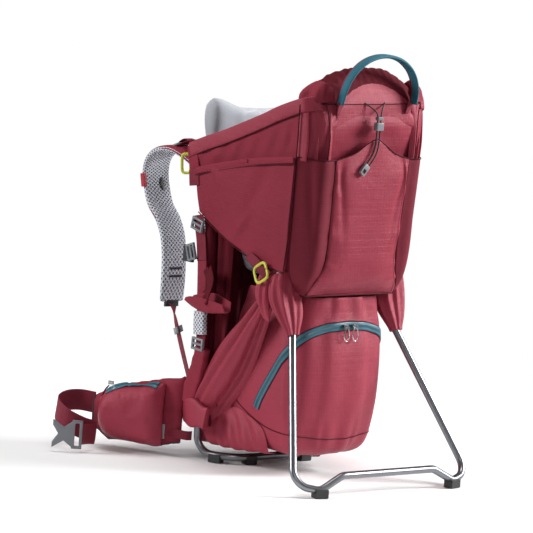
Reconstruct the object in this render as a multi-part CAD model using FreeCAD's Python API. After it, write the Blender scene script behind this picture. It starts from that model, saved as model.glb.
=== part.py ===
"""Framed child carrier backpack with a fold-out kickstand, in millimetres.

+Z is up, +Y is the wearer's side, X = 0 is the plane of symmetry. The carrier stands on its
base loop and its opened kickstand. Each part is one node, written to parts/NODE.step.
"""
import FreeCAD, Part

import math
import os

V = FreeCAD.Vector

# Driving dimensions. Y is measured here from the rear bar of the base loop; the finished model
# is moved as a whole so that its origin is the middle of its footprint.
TUBE_R = 6.5
TUBE_WALL = 1.2
HOOP_R = 5.0
HOOP_WALL = 1.0

FRAME_X = 126.0
UPRIGHT_Y = 72.0
UPRIGHT_TOP = V(FRAME_X, 122, 540)
UPRIGHT_KNEE_Z = 400.0
BASE_JOINT_Z = 66.0
BASE_Z = 13.0
BASE_CORNER = V(101, 0, BASE_Z)
BASE_HEEL_Y = 68.0
BASE_BENDS = [32, 48]
UPRIGHT_BEND = 150.0
CROSS_BAR_Z = 300.0
CROSS_BAR_R = 5.5
CROSS_BAR_PLAY = 0.1

HINGE_Y = -112.0
HINGE_Z = 330.0
HINGE_X = 104.0
EYE_HALF = 5.0
SIDE_PLAY = 2.5
INNER_PLAY = 0.5
WEB = 9.0
EYE_R = 11.0
EAR = 5.0
PIN_R = 4.0
PIN_LENGTH = 30.5
PIN_HEAD_R = 7.0
PIN_HEAD = 3.0
RUNNING = 0.06
STAND_ELBOW = V(118, -150, 258)
STAND_CORNER = V(199, -274, 22)
STAND_FOOT = V(152, -291, BASE_Z)
STAND_RISE = V(104, -291, 36)
STAND_BENDS = [70, 30, 24, 24, 24, 24, 30, 70]
FOLD_DEG = 42.0

BOSS_X = (117.0, 133.0)
BOSS_Y = (-136.0, -90.0)
BOSS_Z = (306.0, 352.0)
EAR_R = 12.0
HOOP_SIDE = [V(125, -122, 334), V(126, -138, 552), V(110, -160, 664), V(56, -152, 702)]
HOOP_BENDS = [120, 50, 60, 60, 50, 120]
STRUT_TOP = V(126, -102, 320)
STRUT_LOW = V(FRAME_X, UPRIGHT_Y, 138)

PANEL_X = (133.5, 137.0)
POCKET_X = (137.5, 141.0)
SIDE_OUTLINE = [(136, 549), (-17, 609), (-97, 645), (-148, 664), (-149, 561), (-136, 360),
                (-75, 367), (-17, 383), (34, 402), (98, 433)]
SIDE_POCKET_OUTLINE = [(106, 510), (-25, 541), (-147, 561), (-134, 364), (-75, 371), (-17, 387),
                       (34, 406), (94, 437)]
WING_OUTLINE = [(-122, 312), (-60, 262), (-5, 205), (45, 168), (62, 130), (66, 72), (40, 62),
                (8, 100), (-30, 150), (-75, 215), (-112, 290)]

REAR_HALF = 115.0
REAR_POCKET_HALF = 84.0
HEADREST_HALF = 106.0
HEADREST_DOME_R = 150.0
CLOTH_PLAY = 0.3
SEAT_BACK_HALF = 92.0
SEAT_HALF = 78.0
CHIN_PAD_HALF = 116.0
LUMBAR_HALF = 98.0

BACK_WIDTH = 222.0
BACK_PATH = [(94, 58), (88, 200), (94, 380), (126, 540)]
BACK_THICK = 12.0

STRAP_X = 75.0
STRAP_PATH = [(135, 487), (225, 525), (300, 486), (286, 430), (231, 378), (229, 252)]
STRAP_BENDS = [40, 34, 30, 50]
STRAP_WIDTH = 52.0
STRAP_THICK = 12.0
LIFTER_WIDTH = 20.0
WEBBING_THICK = 2.0
LOW_WEBBING_WIDTH = 24.0
LOW_WEBBING_TOP = V(STRAP_X, 224, 246)
LOW_WEBBING_END = V(118, 100, 110)
LOW_WEBBING_ACROSS = V(0.7, -0.5, 0)
LADDER_DOWN = 52.0

FIN_AXIS = (132.0, 86.0)
FIN_ANGLE = 26.0
FIN_OUTLINE = [(8, 24), (60, 5), (160, 10), (190, 34), (192, 90), (150, 118), (60, 140), (8, 146)]
FIN_HALF = 6.0
BELT_Z = 32.0
BELT_WIDTH = 38.0
BUCKLE_YAW = 41.0
BUCKLE_SLOT = V(300, 184, BELT_Z)

BAG_REAR_Y = -160.0
BAG_BULGE = 8.0
BAG_CORNER = 48.0
BAG_RINGS = [(80, 20, 4, 40), (98, 2, 22, 100), (98, 0, 18, 272), (84, 10, 0, 306)]
ZIP_TOP = V(0, BAG_REAR_Y, 268)
ZIP_DOWN = V(0, 0.564, -0.826)
ZIP_AXIS = V(0, 0.826, 0.564)
ZIP_TURN_R = 90.0
ZIP_PROUD = 2.5
TAPE_WIDTH = 14.0
TAPE_END_Y = -55.0
SLIDER_DEG = 6.0
HANDLE_Y = -190.0
HANDLE_ARCH = [(78, 656), (77, 706), (37, 738)]
HANDLE_BENDS = [30, 42, 42, 30]
HANDLE_WIDTH = 18.0
HANDLE_THICK = 3.5
CORD_R = 1.3
CORD_X = 3.4
CORD_Y = -198.0
LOCK_Z = 612.0
STRIP_X = (138.0, 140.0)
STRIP_OUTLINE = [(80, 426), (104, 426), (88, 345), (80, 200), (76, 176), (54, 176), (58, 200),
                 (64, 345)]


# ---------------------------------------------------------------- shape helpers
def unit(v):
    return v * (1.0 / v.Length)


def path_wire(points, bends):
    """Straight runs joined by tangent arcs, one bend radius for each inner point."""
    edges = []
    start = points[0]
    for before, corner, after, radius in zip(points, points[1:], points[2:], bends):
        into = unit(corner - before)
        out = unit(after - corner)
        turn = into.getAngle(out)
        reach = radius * math.tan(turn / 2)
        a = corner - into * reach
        b = corner + out * reach
        inward = unit(out - into)
        centre = corner + inward * (radius / math.cos(turn / 2))
        middle = centre - inward * radius
        if (a - start).Length > 1e-6:
            edges.append(Part.LineSegment(start, a).toShape())
        edges.append(Part.Arc(a, middle, b).toShape())
        start = b
    edges.append(Part.LineSegment(start, points[-1]).toShape())
    return Part.Wire(edges)


def sweep(profile, wire):
    return wire.makePipeShell([profile], True, False)


def rod(points, bends, radius):
    wire = path_wire(points, bends)
    circle = Part.Wire([Part.Circle(points[0], points[1] - points[0], radius).toShape()])
    return sweep(circle, wire)


def tube(points, bends, radius, wall=TUBE_WALL):
    return rod(points, bends, radius).cut(rod(points, bends, radius - wall))


def webbing(points, bends, across, width, thick):
    """A flat band along a path: across is the direction of its width."""
    wire = path_wire(points, bends)
    along = unit(points[1] - points[0])
    side = unit(across)
    up = unit(along.cross(side))
    corners = [(-1, -1), (1, -1), (1, 1), (-1, 1)]
    ring = [points[0] + side * (i * width / 2) + up * (j * thick / 2) for i, j in corners]
    return sweep(Part.makePolygon(ring + ring[:1]), wire)


def yz(points, x=0.0):
    return [V(x, y, z) for y, z in points]


def prism(points, direction):
    """The closed outline through these points, pushed along a direction."""
    return Part.Face(Part.makePolygon(points + points[:1])).extrude(direction)


def plate(outline, x_range):
    """A flat panel that stands on edge between two values of X."""
    return prism(yz(outline, x_range[0]), V(x_range[1] - x_range[0], 0, 0))


def slab(outline, half):
    """A pad as wide as two halves, with its side outline in Y and Z."""
    return plate(outline, (-half, half))


def block(x0, x1, y0, y1, z0, z1):
    return Part.makeBox(x1 - x0, y1 - y0, z1 - z0, V(x0, y0, z0))


def rounded(shape, radius):
    return shape.makeFillet(radius, shape.Edges)


def mirrored(shape):
    return shape.mirror(V(0, 0, 0), V(1, 0, 0))


def group(*shapes):
    return Part.makeCompound([s for shape in shapes for s in shape.Solids])


def both(shape):
    return group(shape, mirrored(shape))


def flip(point):
    return V(-point.x, point.y, point.z)


def there_and_back(right):
    """The points of a loop from those of its right half."""
    return right + [flip(p) for p in reversed(right)]


def on_fin(s, depth, z):
    """A point on the right hip fin: s along it from its axis, depth outwards from its middle."""
    a = math.radians(FIN_ANGLE)
    x = FIN_AXIS[0] + s * math.sin(a) + depth * math.cos(a)
    y = FIN_AXIS[1] + s * math.cos(a) - depth * math.sin(a)
    return V(x, y, z)


def fin_prism(outline, depth0, depth1):
    a = math.radians(FIN_ANGLE)
    outward = V(math.cos(a), -math.sin(a), 0) * (depth1 - depth0)
    return prism([on_fin(s, depth0, z) for s, z in outline], outward)


# ---------------------------------------------------------------- frame
def upright_points():
    """One side of the back frame, vertical and then leaning towards the shoulders."""
    return [V(FRAME_X, UPRIGHT_Y, BASE_JOINT_Z), V(FRAME_X, UPRIGHT_Y, UPRIGHT_KNEE_Z), UPRIGHT_TOP]


def upright():
    return tube(upright_points(), [UPRIGHT_BEND], TUBE_R)


def base_side():
    """Down from an upright and round the heel to the rear corner."""
    return [V(FRAME_X, UPRIGHT_Y, BASE_JOINT_Z), V(FRAME_X, BASE_HEEL_Y, BASE_Z), BASE_CORNER]


def base_loop():
    """The ground loop: down from each upright, round two corners and across at the rear."""
    return tube(there_and_back(base_side()), BASE_BENDS + BASE_BENDS[::-1], TUBE_R)


def cross_bar():
    """The thinner tube between the uprights, just clear of them."""
    half = FRAME_X - TUBE_R - CROSS_BAR_PLAY
    return tube([V(-half, UPRIGHT_Y, CROSS_BAR_Z), V(half, UPRIGHT_Y, CROSS_BAR_Z)], [], CROSS_BAR_R)


def strut_rod(radius):
    along = unit(STRUT_LOW - STRUT_TOP)
    return rod([STRUT_TOP - along * 4, STRUT_LOW], [], radius)


def side_strut():
    """From the hinge bracket down to the upright, its foot shaped to the tube that it meets."""
    solid_upright = rod(upright_points(), [UPRIGHT_BEND], TUBE_R)
    return strut_rod(TUBE_R).cut(strut_rod(TUBE_R - TUBE_WALL)).cut(solid_upright)


def hoop_points():
    return there_and_back(HOOP_SIDE)


def rear_hoop():
    return tube(hoop_points(), HOOP_BENDS, HOOP_R, HOOP_WALL)


def hinge_bracket():
    """A moulded bracket: it holds the strut and the hoop, and its two ears carry the stand."""
    boss = block(*BOSS_X, *BOSS_Y, *BOSS_Z)
    inner = HINGE_X - EYE_HALF - INNER_PLAY
    outer = HINGE_X + EYE_HALF + SIDE_PLAY
    top = BOSS_Z[1]
    web = block(inner - EAR, BOSS_X[0], HINGE_Y - EAR_R, HINGE_Y + EAR_R, top - WEB, top)
    ears = []
    for low, high in ((inner - EAR, inner), (outer, BOSS_X[0])):
        ears.append(Part.makeCylinder(EAR_R, high - low, V(low, HINGE_Y, HINGE_Z), V(1, 0, 0)))
        ears.append(block(low, high, HINGE_Y - EAR_R, HINGE_Y + EAR_R, HINGE_Z, top))
    body = boss.fuse([web] + ears).removeSplitter()
    bore = Part.makeCylinder(PIN_R, PIN_LENGTH, V(inner - EAR, HINGE_Y, HINGE_Z), V(1, 0, 0))
    hoop = rod(HOOP_SIDE[:3], HOOP_BENDS[:1], HOOP_R)
    return body.cut(bore).cut(strut_rod(TUBE_R)).cut(hoop)


def hinge_pin():
    """A shouldered rivet through the ears and the stand's eye."""
    inner = HINGE_X - EYE_HALF - INNER_PLAY - EAR
    shank = Part.makeCylinder(PIN_R, PIN_LENGTH, V(inner, HINGE_Y, HINGE_Z), V(1, 0, 0))
    head = Part.makeCylinder(PIN_HEAD_R, PIN_HEAD, V(inner - PIN_HEAD, HINGE_Y, HINGE_Z), V(1, 0, 0))
    return head.fuse(shank).removeSplitter().cut(strut_rod(TUBE_R)).Solids[0]


def foot_pad(x, y, z, turn, length=22.0, width=17.0):
    """A rubber clip pad under a tube, open at the top where the tube lies in it."""
    pad = block(-length / 2, length / 2, -width / 2, width / 2, 0, z + 2)
    pad = pad.makeChamfer(1.5, [e for e in pad.Edges if e.BoundBox.ZMax < 0.1])
    pad.rotate(V(0, 0, 0), V(0, 0, 1), turn)
    pad.translate(V(x, y, 0))
    return pad


def base_feet():
    half_loop = base_side() + [V(0, 0, BASE_Z)]
    loop = rod(half_loop, BASE_BENDS, TUBE_R)
    pads = [foot_pad(63, 0, BASE_Z, 0), foot_pad(113.3, 31, BASE_Z, 69)]
    return both(group(*[p.cut(loop) for p in pads]))


# ---------------------------------------------------------------- kickstand
def stand_points():
    axis = V(HINGE_X, HINGE_Y, HINGE_Z)
    top = axis + unit(STAND_ELBOW - axis) * (EYE_R + 3)
    return there_and_back([top, STAND_ELBOW, STAND_CORNER, STAND_FOOT, STAND_RISE])


def kickstand_loop():
    return tube(stand_points(), STAND_BENDS, TUBE_R)


def kickstand_eye():
    """A plug pressed in the tube's end, with the bore that turns on the hinge pin."""
    axis = V(HINGE_X, HINGE_Y, HINGE_Z)
    disc = Part.makeCylinder(EYE_R, 2 * EYE_HALF, axis - V(EYE_HALF, 0, 0), V(1, 0, 0))
    down = unit(STAND_ELBOW - axis)
    neck = Part.makeCylinder(EYE_HALF, EYE_R + 3, axis, down)
    spigot = Part.makeCylinder(TUBE_R - TUBE_WALL, 14, axis + down * (EYE_R + 3), down)
    bore = Part.makeCylinder(PIN_R + RUNNING, 30, axis - V(15, 0, 0), V(1, 0, 0))
    return disc.fuse([neck, spigot]).removeSplitter().cut(bore)


def kickstand_feet():
    pad = foot_pad(152, -291, BASE_Z, 12, 24, 18)
    return both(pad.cut(rod(stand_points()[:6], STAND_BENDS[:4], TUBE_R)))


# ---------------------------------------------------------------- child compartment
def side_panel():
    return plate(SIDE_OUTLINE, PANEL_X)


def side_pocket():
    return plate(SIDE_POCKET_OUTLINE, POCKET_X)


def rear_panel():
    """The stiff rear wall, between the legs of the hoop."""
    return slab([(-147, 322), (-171, 648), (-165, 648), (-141, 322)], REAR_HALF)


def rear_pocket():
    """The big flat pocket on the rear wall, its top edge rising to a point in the middle."""
    outline = [(-150, 324), (-171, 600), (-193, 600), (-193, 530), (-184, 400), (-160, 324)]
    half = REAR_POCKET_HALF
    face = [V(-half, 0, 300), V(half, 0, 300), V(half, 0, 562), V(0, 0, 597), V(-half, 0, 562)]
    return slab(outline, half).common(prism(face, V(0, -300, 0)))


def corner_pocket():
    """The slanting pocket between the side panel and the rear pocket."""
    low = [(86, -150), (108, -150), (110, -151), (109, -153), (104, -158), (86, -161)]
    high = [(86, -168), (116, -168), (133, -150), (134, -154), (94, -196), (86, -197)]
    wires = []
    for ring, z in ((low, 322), (high, 560)):
        points = [V(x, y, z) for x, y in ring]
        wires.append(Part.makePolygon(points + points[:1]))
    return Part.makeLoft(wires, True, True)


def headrest():
    """The domed cushion that the hoop holds up, with the rounded top of the rear wall."""
    outline = [(-174, 604), (-180, 610), (-179, 655), (-170, 692), (-152, 716), (-128, 700),
               (-120, 668), (-126, 652), (-173, 652)]
    mould = Part.makeCylinder(HEADREST_DOME_R, 140, V(0, -230, 568), V(0, 1, 0))
    channel = rod(hoop_points(), HOOP_BENDS, HOOP_R + CLOTH_PLAY)
    return slab(outline, HEADREST_HALF).common(mould).cut(channel)


def seat_back_pad():
    return slab([(-139, 352), (-163, 640), (-152, 640), (-128, 352)], SEAT_BACK_HALF)


def seat_pad():
    outline = [(-118, 334), (-118, 348), (30, 356), (52, 380), (60, 376), (40, 342)]
    return slab(outline, SEAT_HALF)


def harness_straps():
    """Two shoulder belts that lie on the seat back and turn down to the buckle."""
    points = yz([(-146, 610), (-122, 380), (-52, 366)], 34)
    return both(webbing(points, [18], V(1, 0, 0), 28, 3))


def harness_buckle():
    centre = V(0, -34, 367)
    body = rounded(block(-26, 26, -16, 16, -6, 6), 4)
    body.rotate(V(0, 0, 0), V(1, 0, 0), 4)
    body.translate(centre)
    return body


def chin_pad():
    outline = [(100, 552), (97, 590), (100, 622), (110, 628), (120, 618), (122, 590), (120, 554)]
    return slab(outline, CHIN_PAD_HALF)


# ---------------------------------------------------------------- lower compartment
def bag_ring(half, inset, front, z, grow):
    """A level section of the bag: straight sides, round rear corners, a slightly bowed rear."""
    side = half + grow
    rear = BAG_REAR_Y + inset - grow
    corner = BAG_CORNER + grow
    flank = rear + BAG_BULGE
    part_way = corner * (1 - math.sqrt(0.5))
    left = [V(-side, front, z), V(-side, flank + corner, z), V(-side + part_way, flank + part_way, z),
            V(-side + corner, flank, z)]
    right = [flip(p) for p in left]
    return Part.Wire([
        Part.LineSegment(left[0], left[1]).toShape(),
        Part.Arc(left[1], left[2], left[3]).toShape(),
        Part.Arc(left[3], V(0, rear, z), right[3]).toShape(),
        Part.Arc(right[3], right[2], right[1]).toShape(),
        Part.LineSegment(right[1], right[0]).toShape(),
        Part.LineSegment(right[0], left[0]).toShape(),
    ])


def bag_body(grow):
    return Part.makeLoft([bag_ring(*ring, grow) for ring in BAG_RINGS], True, True)


def lower_bag():
    return bag_body(0)


def bag_zip():
    """The zip tape round the bag: level over the rear, then slanting down both sides."""
    layer = Part.makeBox(400, 400, TAPE_WIDTH, V(-200, 0, -TAPE_WIDTH / 2))
    layer.rotate(V(0, 0, 0), V(1, 0, 0), -math.degrees(math.atan2(-ZIP_DOWN.z, ZIP_DOWN.y)))
    layer.translate(ZIP_TOP - ZIP_DOWN * 60)
    reach = block(-200, 200, -300, TAPE_END_Y, 60, 300)
    tape = bag_body(ZIP_PROUD).cut(bag_body(0)).common(layer).common(reach)
    return tape.removeSplitter()


def along_zip(shape, degrees):
    """Carry a piece made at the top of the zip round its curve."""
    shape.rotate(ZIP_TOP + ZIP_DOWN * ZIP_TURN_R, ZIP_AXIS, degrees)
    return shape


def bridge_point():
    return ZIP_TOP + V(0, -10, 0)


def zip_slider(degrees):
    """A slider body over the coil, with the bridge that its pull hangs from."""
    hinge = bridge_point()
    body = block(-5, 5, hinge.y + 2.6, hinge.y + 6.8, hinge.z - 4.5, hinge.z + 4.5)
    post = block(-1.2, 1.2, hinge.y - 2.4, hinge.y + 2.7, hinge.z - 3, hinge.z + 3)
    hole = Part.makeCylinder(1.3, 12, hinge - V(6, 0, 0), V(1, 0, 0))
    return along_zip(body.fuse(post).removeSplitter().cut(hole), degrees)


def zip_pull(degrees):
    """A teardrop wire loop threaded through the slider's bridge."""
    shoulder = 2.7
    loop = rod([V(shoulder, 0, 0.4), V(6.5, 0, -17), V(0, 0, -28), V(-6.5, 0, -17), V(-shoulder, 0, 0.4)],
               [4, 4, 4], 1.0)
    bar = Part.makeCylinder(1.0, 2 * shoulder + 1.4, V(-shoulder - 0.7, 0, 0), V(1, 0, 0))
    pull = loop.fuse(bar).removeSplitter()
    marker = along_zip(Part.Vertex(bridge_point()), degrees)
    pull.translate(marker.Point)
    return pull


def side_wing():
    """The lower side cloth, from the hinge down to the hip belt."""
    return plate(WING_OUTLINE, PANEL_X)


def hinge_cover():
    """The cloth cover outside the hinge that keeps fingers off it."""
    outline = [(-140, 352), (-96, 352), (-96, 300), (-116, 262), (-160, 262), (-150, 300)]
    return prism(yz(outline, PANEL_X[0] + 4), V(4, 0, 0))


# ---------------------------------------------------------------- carrying system
def back_panel():
    return webbing(yz(BACK_PATH), [300, 200], V(1, 0, 0), BACK_WIDTH, BACK_THICK)


def lumbar_pad():
    outline = [(101, 44), (99, 150), (106, 156), (118, 140), (122, 95), (118, 50), (110, 42)]
    return slab(outline, LUMBAR_HALF)


def yoke_plate():
    """The plate that joins the shoulder straps and slides up and down the back panel."""
    plate = rounded(block(-58, 58, 0, 6, -30, 30), 2.5)
    plate.rotate(V(0, 0, 0), V(1, 0, 0), -11.3)
    plate.translate(V(0, 122.5, 470))
    return plate


def shoulder_strap():
    path = yz(STRAP_PATH, STRAP_X)
    return webbing(path, STRAP_BENDS, V(1, 0, 0), STRAP_WIDTH, STRAP_THICK)


def load_lifter():
    points = yz([(137, 550), (205, 544), (248, 524)], STRAP_X)
    return webbing(points, [60], V(1, 0, 0), LIFTER_WIDTH, WEBBING_THICK)


def lower_webbing():
    """The band from the bottom of the padded strap to the belt."""
    ends = [LOW_WEBBING_TOP, LOW_WEBBING_END]
    return webbing(ends, [], LOW_WEBBING_ACROSS, LOW_WEBBING_WIDTH, WEBBING_THICK)


def strap_adjuster():
    """A ladder lock round the lower webbing."""
    along = unit(LOW_WEBBING_END - LOW_WEBBING_TOP)
    centre = LOW_WEBBING_TOP + along * LADDER_DOWN
    outer = webbing([centre - along * 7, centre + along * 7], [], LOW_WEBBING_ACROSS, 34, 8)
    window = webbing([centre - along * 8, centre + along * 8], [], LOW_WEBBING_ACROSS, 26, 3.4)
    return outer.cut(window)


def sternum_slider():
    """A clip on the outer edge of the strap that the chest strap is fastened to."""
    clip = rounded(block(0, 7, -5, 5, -12, 12), 1.5)
    clip.rotate(V(0, 0, 0), V(1, 0, 0), -14)
    clip.translate(V(STRAP_X + 26.5, 294, 462))
    return clip


# ---------------------------------------------------------------- hip belt
def hip_fin():
    return fin_prism(FIN_OUTLINE, -FIN_HALF, FIN_HALF)


def hip_pocket():
    low = [(48, 16), (150, 20), (166, 40), (166, 88), (140, 112), (48, 128)]
    high = [(62, 32), (142, 36), (152, 50), (152, 78), (132, 96), (62, 106)]
    wires = []
    for outline, depth in ((low, FIN_HALF + 0.5), (high, FIN_HALF + 34)):
        ring = [on_fin(s, depth, z) for s, z in outline]
        wires.append(Part.makePolygon(ring + ring[:1]))
    return Part.makeLoft(wires, True, True)


def hip_zip_slider():
    slider = Part.makeBox(9, 5, 6, V(-4.5, -2.5, 0))
    slider.rotate(V(0, 0, 0), V(0, 0, 1), 90 - FIN_ANGLE)
    slider.translate(on_fin(150, FIN_HALF + 9, 112))
    return slider


def hip_webbing():
    """The belt webbing leaves the fin's end, loops out and comes back to its buckle."""
    start = on_fin(192, 0, BELT_Z)
    loop = [V(250, 272, BELT_Z), V(286, 252, BELT_Z), V(299, 212, BELT_Z), BUCKLE_SLOT + V(-4, -4, 0)]
    return webbing([start] + loop, [18, 26, 40], V(0, 0, 1), BELT_WIDTH, WEBBING_THICK)


def buckle_male():
    """The flat two-pronged half, waisted in the middle, with a slot for the webbing."""
    slot = block(-6, 12, -25, 25, -3, 3).cut(block(-1, 7, -20, 20, -4, 4))
    prongs = []
    for side in (-1, 1):
        outline = [V(12, side * 4, -3), V(12, side * 22, -3), V(26, side * 12, -3), V(46, side * 25, -3),
                   V(46, side * 15, -3), V(36, 0, -3), V(12, 0, -3)]
        prongs.append(prism(outline, V(0, 0, 6)))
    return slot.fuse(prongs).removeSplitter()


def buckle_female():
    """The hollow half that the prongs click into."""
    body = block(10, 46, -25, 25, -6, 6).cut(block(24, 47, -21, 21, -4, 4))
    slot = block(-6, 10, -25, 25, -4, 4).cut(block(-1, 6, -20, 20, -5, 5))
    return body.fuse(slot).removeSplitter()


def place_buckle(shape, side):
    """Stand a buckle half on edge at the end of its webbing."""
    shape.rotate(V(0, 0, 0), V(1, 0, 0), 90)
    shape.rotate(V(0, 0, 0), V(0, 0, 1), BUCKLE_YAW)
    shape.translate(BUCKLE_SLOT)
    return mirrored(shape) if side < 0 else shape


# ---------------------------------------------------------------- small things
def haul_handle():
    """A stiffened webbing arch over the headrest."""
    right = [V(x, HANDLE_Y, z) for x, z in HANDLE_ARCH]
    return webbing(there_and_back(right), HANDLE_BENDS, V(0, 1, 0), HANDLE_WIDTH, HANDLE_THICK)


def cord_points():
    """From one anchor through the lock, round inside the cord end, and back to the other anchor."""
    tail_y = CORD_Y - 1.5
    down = [V(-23, -183, 658), V(-13, -190, 651), V(-CORD_X - 1.4, -197, 643), V(-CORD_X, CORD_Y, 633),
            V(-CORD_X, CORD_Y, 592), V(-8, tail_y, 574), V(-18, tail_y, 561), V(-26, tail_y, 551)]
    back = [V(-21.5, tail_y, 547.5), V(-12, tail_y, 557), V(-1, tail_y, 573), V(CORD_X, CORD_Y, 592),
            V(CORD_X, CORD_Y, 633), V(CORD_X + 1.4, -197, 643), V(13, -190, 651), V(23, -183, 658)]
    return down + back


def arc_bends(points):
    """Each arc takes 0.45 of the shorter run beside its corner."""
    bends = []
    for before, corner, after in zip(points, points[1:], points[2:]):
        into = corner - before
        out = after - corner
        turn = into.getAngle(out)
        bends.append(0.45 * min(into.Length, out.Length) / math.tan(turn / 2))
    return bends


def pocket_cord():
    points = cord_points()
    bends = arc_bends(points)
    shape = rod(points, bends, CORD_R)
    length = path_wire(points, bends).Length
    ratio = shape.Volume / (math.pi * CORD_R ** 2 * length)
    print("cord radii", [round(b, 1) for b in bends])
    print("cord length", round(length, 1), "volume ratio", round(ratio, 4))
    return shape


def with_cord_holes(shape, radius):
    for x in (-CORD_X, CORD_X):
        shape = shape.cut(Part.makeCylinder(radius, 60, V(x, CORD_Y, LOCK_Z - 15), V(0, 0, 1)))
    return shape


def cord_lock_barrel():
    body = rounded(block(-8, 8, CORD_Y - 5, CORD_Y + 5, LOCK_Z, LOCK_Z + 14), 2)
    return with_cord_holes(body, CORD_R + 0.5)


def cord_lock_button():
    cap = rounded(block(-6, 6, CORD_Y - 4, CORD_Y + 4, LOCK_Z + 18, LOCK_Z + 24), 1.5)
    return with_cord_holes(cap, CORD_R + 1.1)


def cord_end():
    """A moulded finger loop clamped on the folded end of the cord."""
    middle = (cord_points()[7] + cord_points()[8]) * 0.5
    along = unit(V(-0.62, 0, -0.78))
    across = V(along.z, 0, -along.x)
    start = middle - along * 5
    body = webbing([start, start + along * 20], [], across, 12, 5)
    window = webbing([start + along * 9, start + along * 17], [], across, 7, 8)
    return body.cut(window).cut(rod(cord_points(), arc_bends(cord_points()), CORD_R))


def stirrup_strap():
    """The tensioned band that the stirrup rides on, outside the frame."""
    return plate(STRIP_OUTLINE, STRIP_X)


def ladder_lock(y, z, turn):
    """A moulded frame with two slots that a band is threaded through."""
    frame = block(0, 5, -15, 15, -11, 11)
    for low in (-7, 2):
        frame = frame.cut(block(-1, 6, -11, 11, low, low + 5))
    frame.rotate(V(0, 0, 0), V(1, 0, 0), turn)
    frame.translate(V(STRIP_X[1] + 0.5, y, z))
    return frame


def ladder_locks():
    return both(group(ladder_lock(92, 412, 12), ladder_lock(68, 205, 2), ladder_lock(104, 362, 70)))


def stirrup():
    """A sling of stiffened cloth for the child's foot."""
    outer = prism([V(142, 40, 338), V(142, 88, 282), V(142, -24, 270)], V(30, 0, 0))
    inner = prism([V(141, 39, 328), V(141, 74, 286), V(141, -8, 276.5)], V(32, 0, 0))
    return outer.cut(inner)


def entry_buckle(y, z, turn):
    frame = block(142, 146, -9, 9, -13, 13).cut(block(141, 147, -5, 5, -9, 9))
    frame.rotate(V(144, 0, 0), V(1, 0, 0), turn)
    frame.translate(V(0, y, z))
    return frame


def entry_buckles():
    hook = block(-4.5, 4.5, -2, 2, -13, 13)
    hook.translate(V(129, 146, 512))
    return both(group(hook, entry_buckle(-88, 364, -28)))


# ---------------------------------------------------------------- assembly
def parts():
    sides = {
        "shoulder_strap": shoulder_strap(),
        "sternum_slider": sternum_slider(),
        "hip_fin": hip_fin(),
        "hip_pocket": hip_pocket(),
        "hip_zip_slider": hip_zip_slider(),
        "hip_webbing": hip_webbing(),
        "stirrup": stirrup(),
    }
    nodes = {}
    for name, right in sides.items():
        nodes[name + "_right"] = right
        nodes[name + "_left"] = mirrored(right)
    pairs = {
        "frame_uprights": upright(),
        "side_struts": side_strut(),
        "hinge_brackets": hinge_bracket(),
        "hinge_pins": hinge_pin(),
        "kickstand_eyes": kickstand_eye(),
        "side_panels": side_panel(),
        "side_pockets": side_pocket(),
        "corner_pockets": corner_pocket(),
        "side_wings": side_wing(),
        "hinge_covers": hinge_cover(),
        "load_lifters": load_lifter(),
        "strap_webbings": lower_webbing(),
        "strap_adjusters": strap_adjuster(),
        "stirrup_straps": stirrup_strap(),
    }
    for name, right in pairs.items():
        nodes[name] = both(right)
    nodes.update({
        "frame_base_loop": base_loop(),
        "frame_cross_bar": cross_bar(),
        "rear_hoop": rear_hoop(),
        "base_feet": base_feet(),
        "kickstand_loop": kickstand_loop(),
        "kickstand_feet": kickstand_feet(),
        "rear_panel": rear_panel(),
        "rear_pocket": rear_pocket(),
        "headrest": headrest(),
        "seat_back_pad": seat_back_pad(),
        "seat_pad": seat_pad(),
        "harness_straps": harness_straps(),
        "harness_buckle": harness_buckle(),
        "chin_pad": chin_pad(),
        "lower_bag": lower_bag(),
        "bag_zip": bag_zip(),
        "zip_slider_left": zip_slider(SLIDER_DEG),
        "zip_slider_right": zip_slider(-SLIDER_DEG),
        "zip_pull_left": zip_pull(SLIDER_DEG),
        "zip_pull_right": zip_pull(-SLIDER_DEG),
        "back_panel": back_panel(),
        "lumbar_pad": lumbar_pad(),
        "yoke_plate": yoke_plate(),
        "hip_buckle_male": place_buckle(buckle_male(), -1),
        "hip_buckle_female": place_buckle(buckle_female(), 1),
        "haul_handle": haul_handle(),
        "pocket_cord": pocket_cord(),
        "cord_lock_barrel": cord_lock_barrel(),
        "cord_lock_button": cord_lock_button(),
        "cord_end": cord_end(),
        "ladder_locks": ladder_locks(),
        "entry_buckles": entry_buckles(),
    })
    return nodes


def main():
    nodes = parts()
    everything = Part.makeCompound(list(nodes.values())).BoundBox
    shift = V(0, -everything.Center.y, -everything.ZMin)
    print("origin shift", [round(c, 3) for c in shift], "size", [round(s, 1) for s in (
        everything.XLength, everything.YLength, everything.ZLength)])
    os.makedirs("parts", exist_ok=True)
    for name, shape in nodes.items():
        shape.translate(shift)
        if not shape.isValid() or not shape.Solids:
            print("check", name, shape.isValid(), len(shape.Solids))
        shape.exportStep("parts/" + name + ".step")
    print(len(nodes), "nodes")


main()
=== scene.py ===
"""Looks of a framed child carrier backpack: cloth, webbing, padding and finishes over its frame."""
import math
from collections import namedtuple

import bmesh
import bpy
from bpy.props import FloatProperty, FloatVectorProperty, PointerProperty
from mathutils import Matrix, Vector, noise
from mathutils.bvhtree import BVHTree


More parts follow.
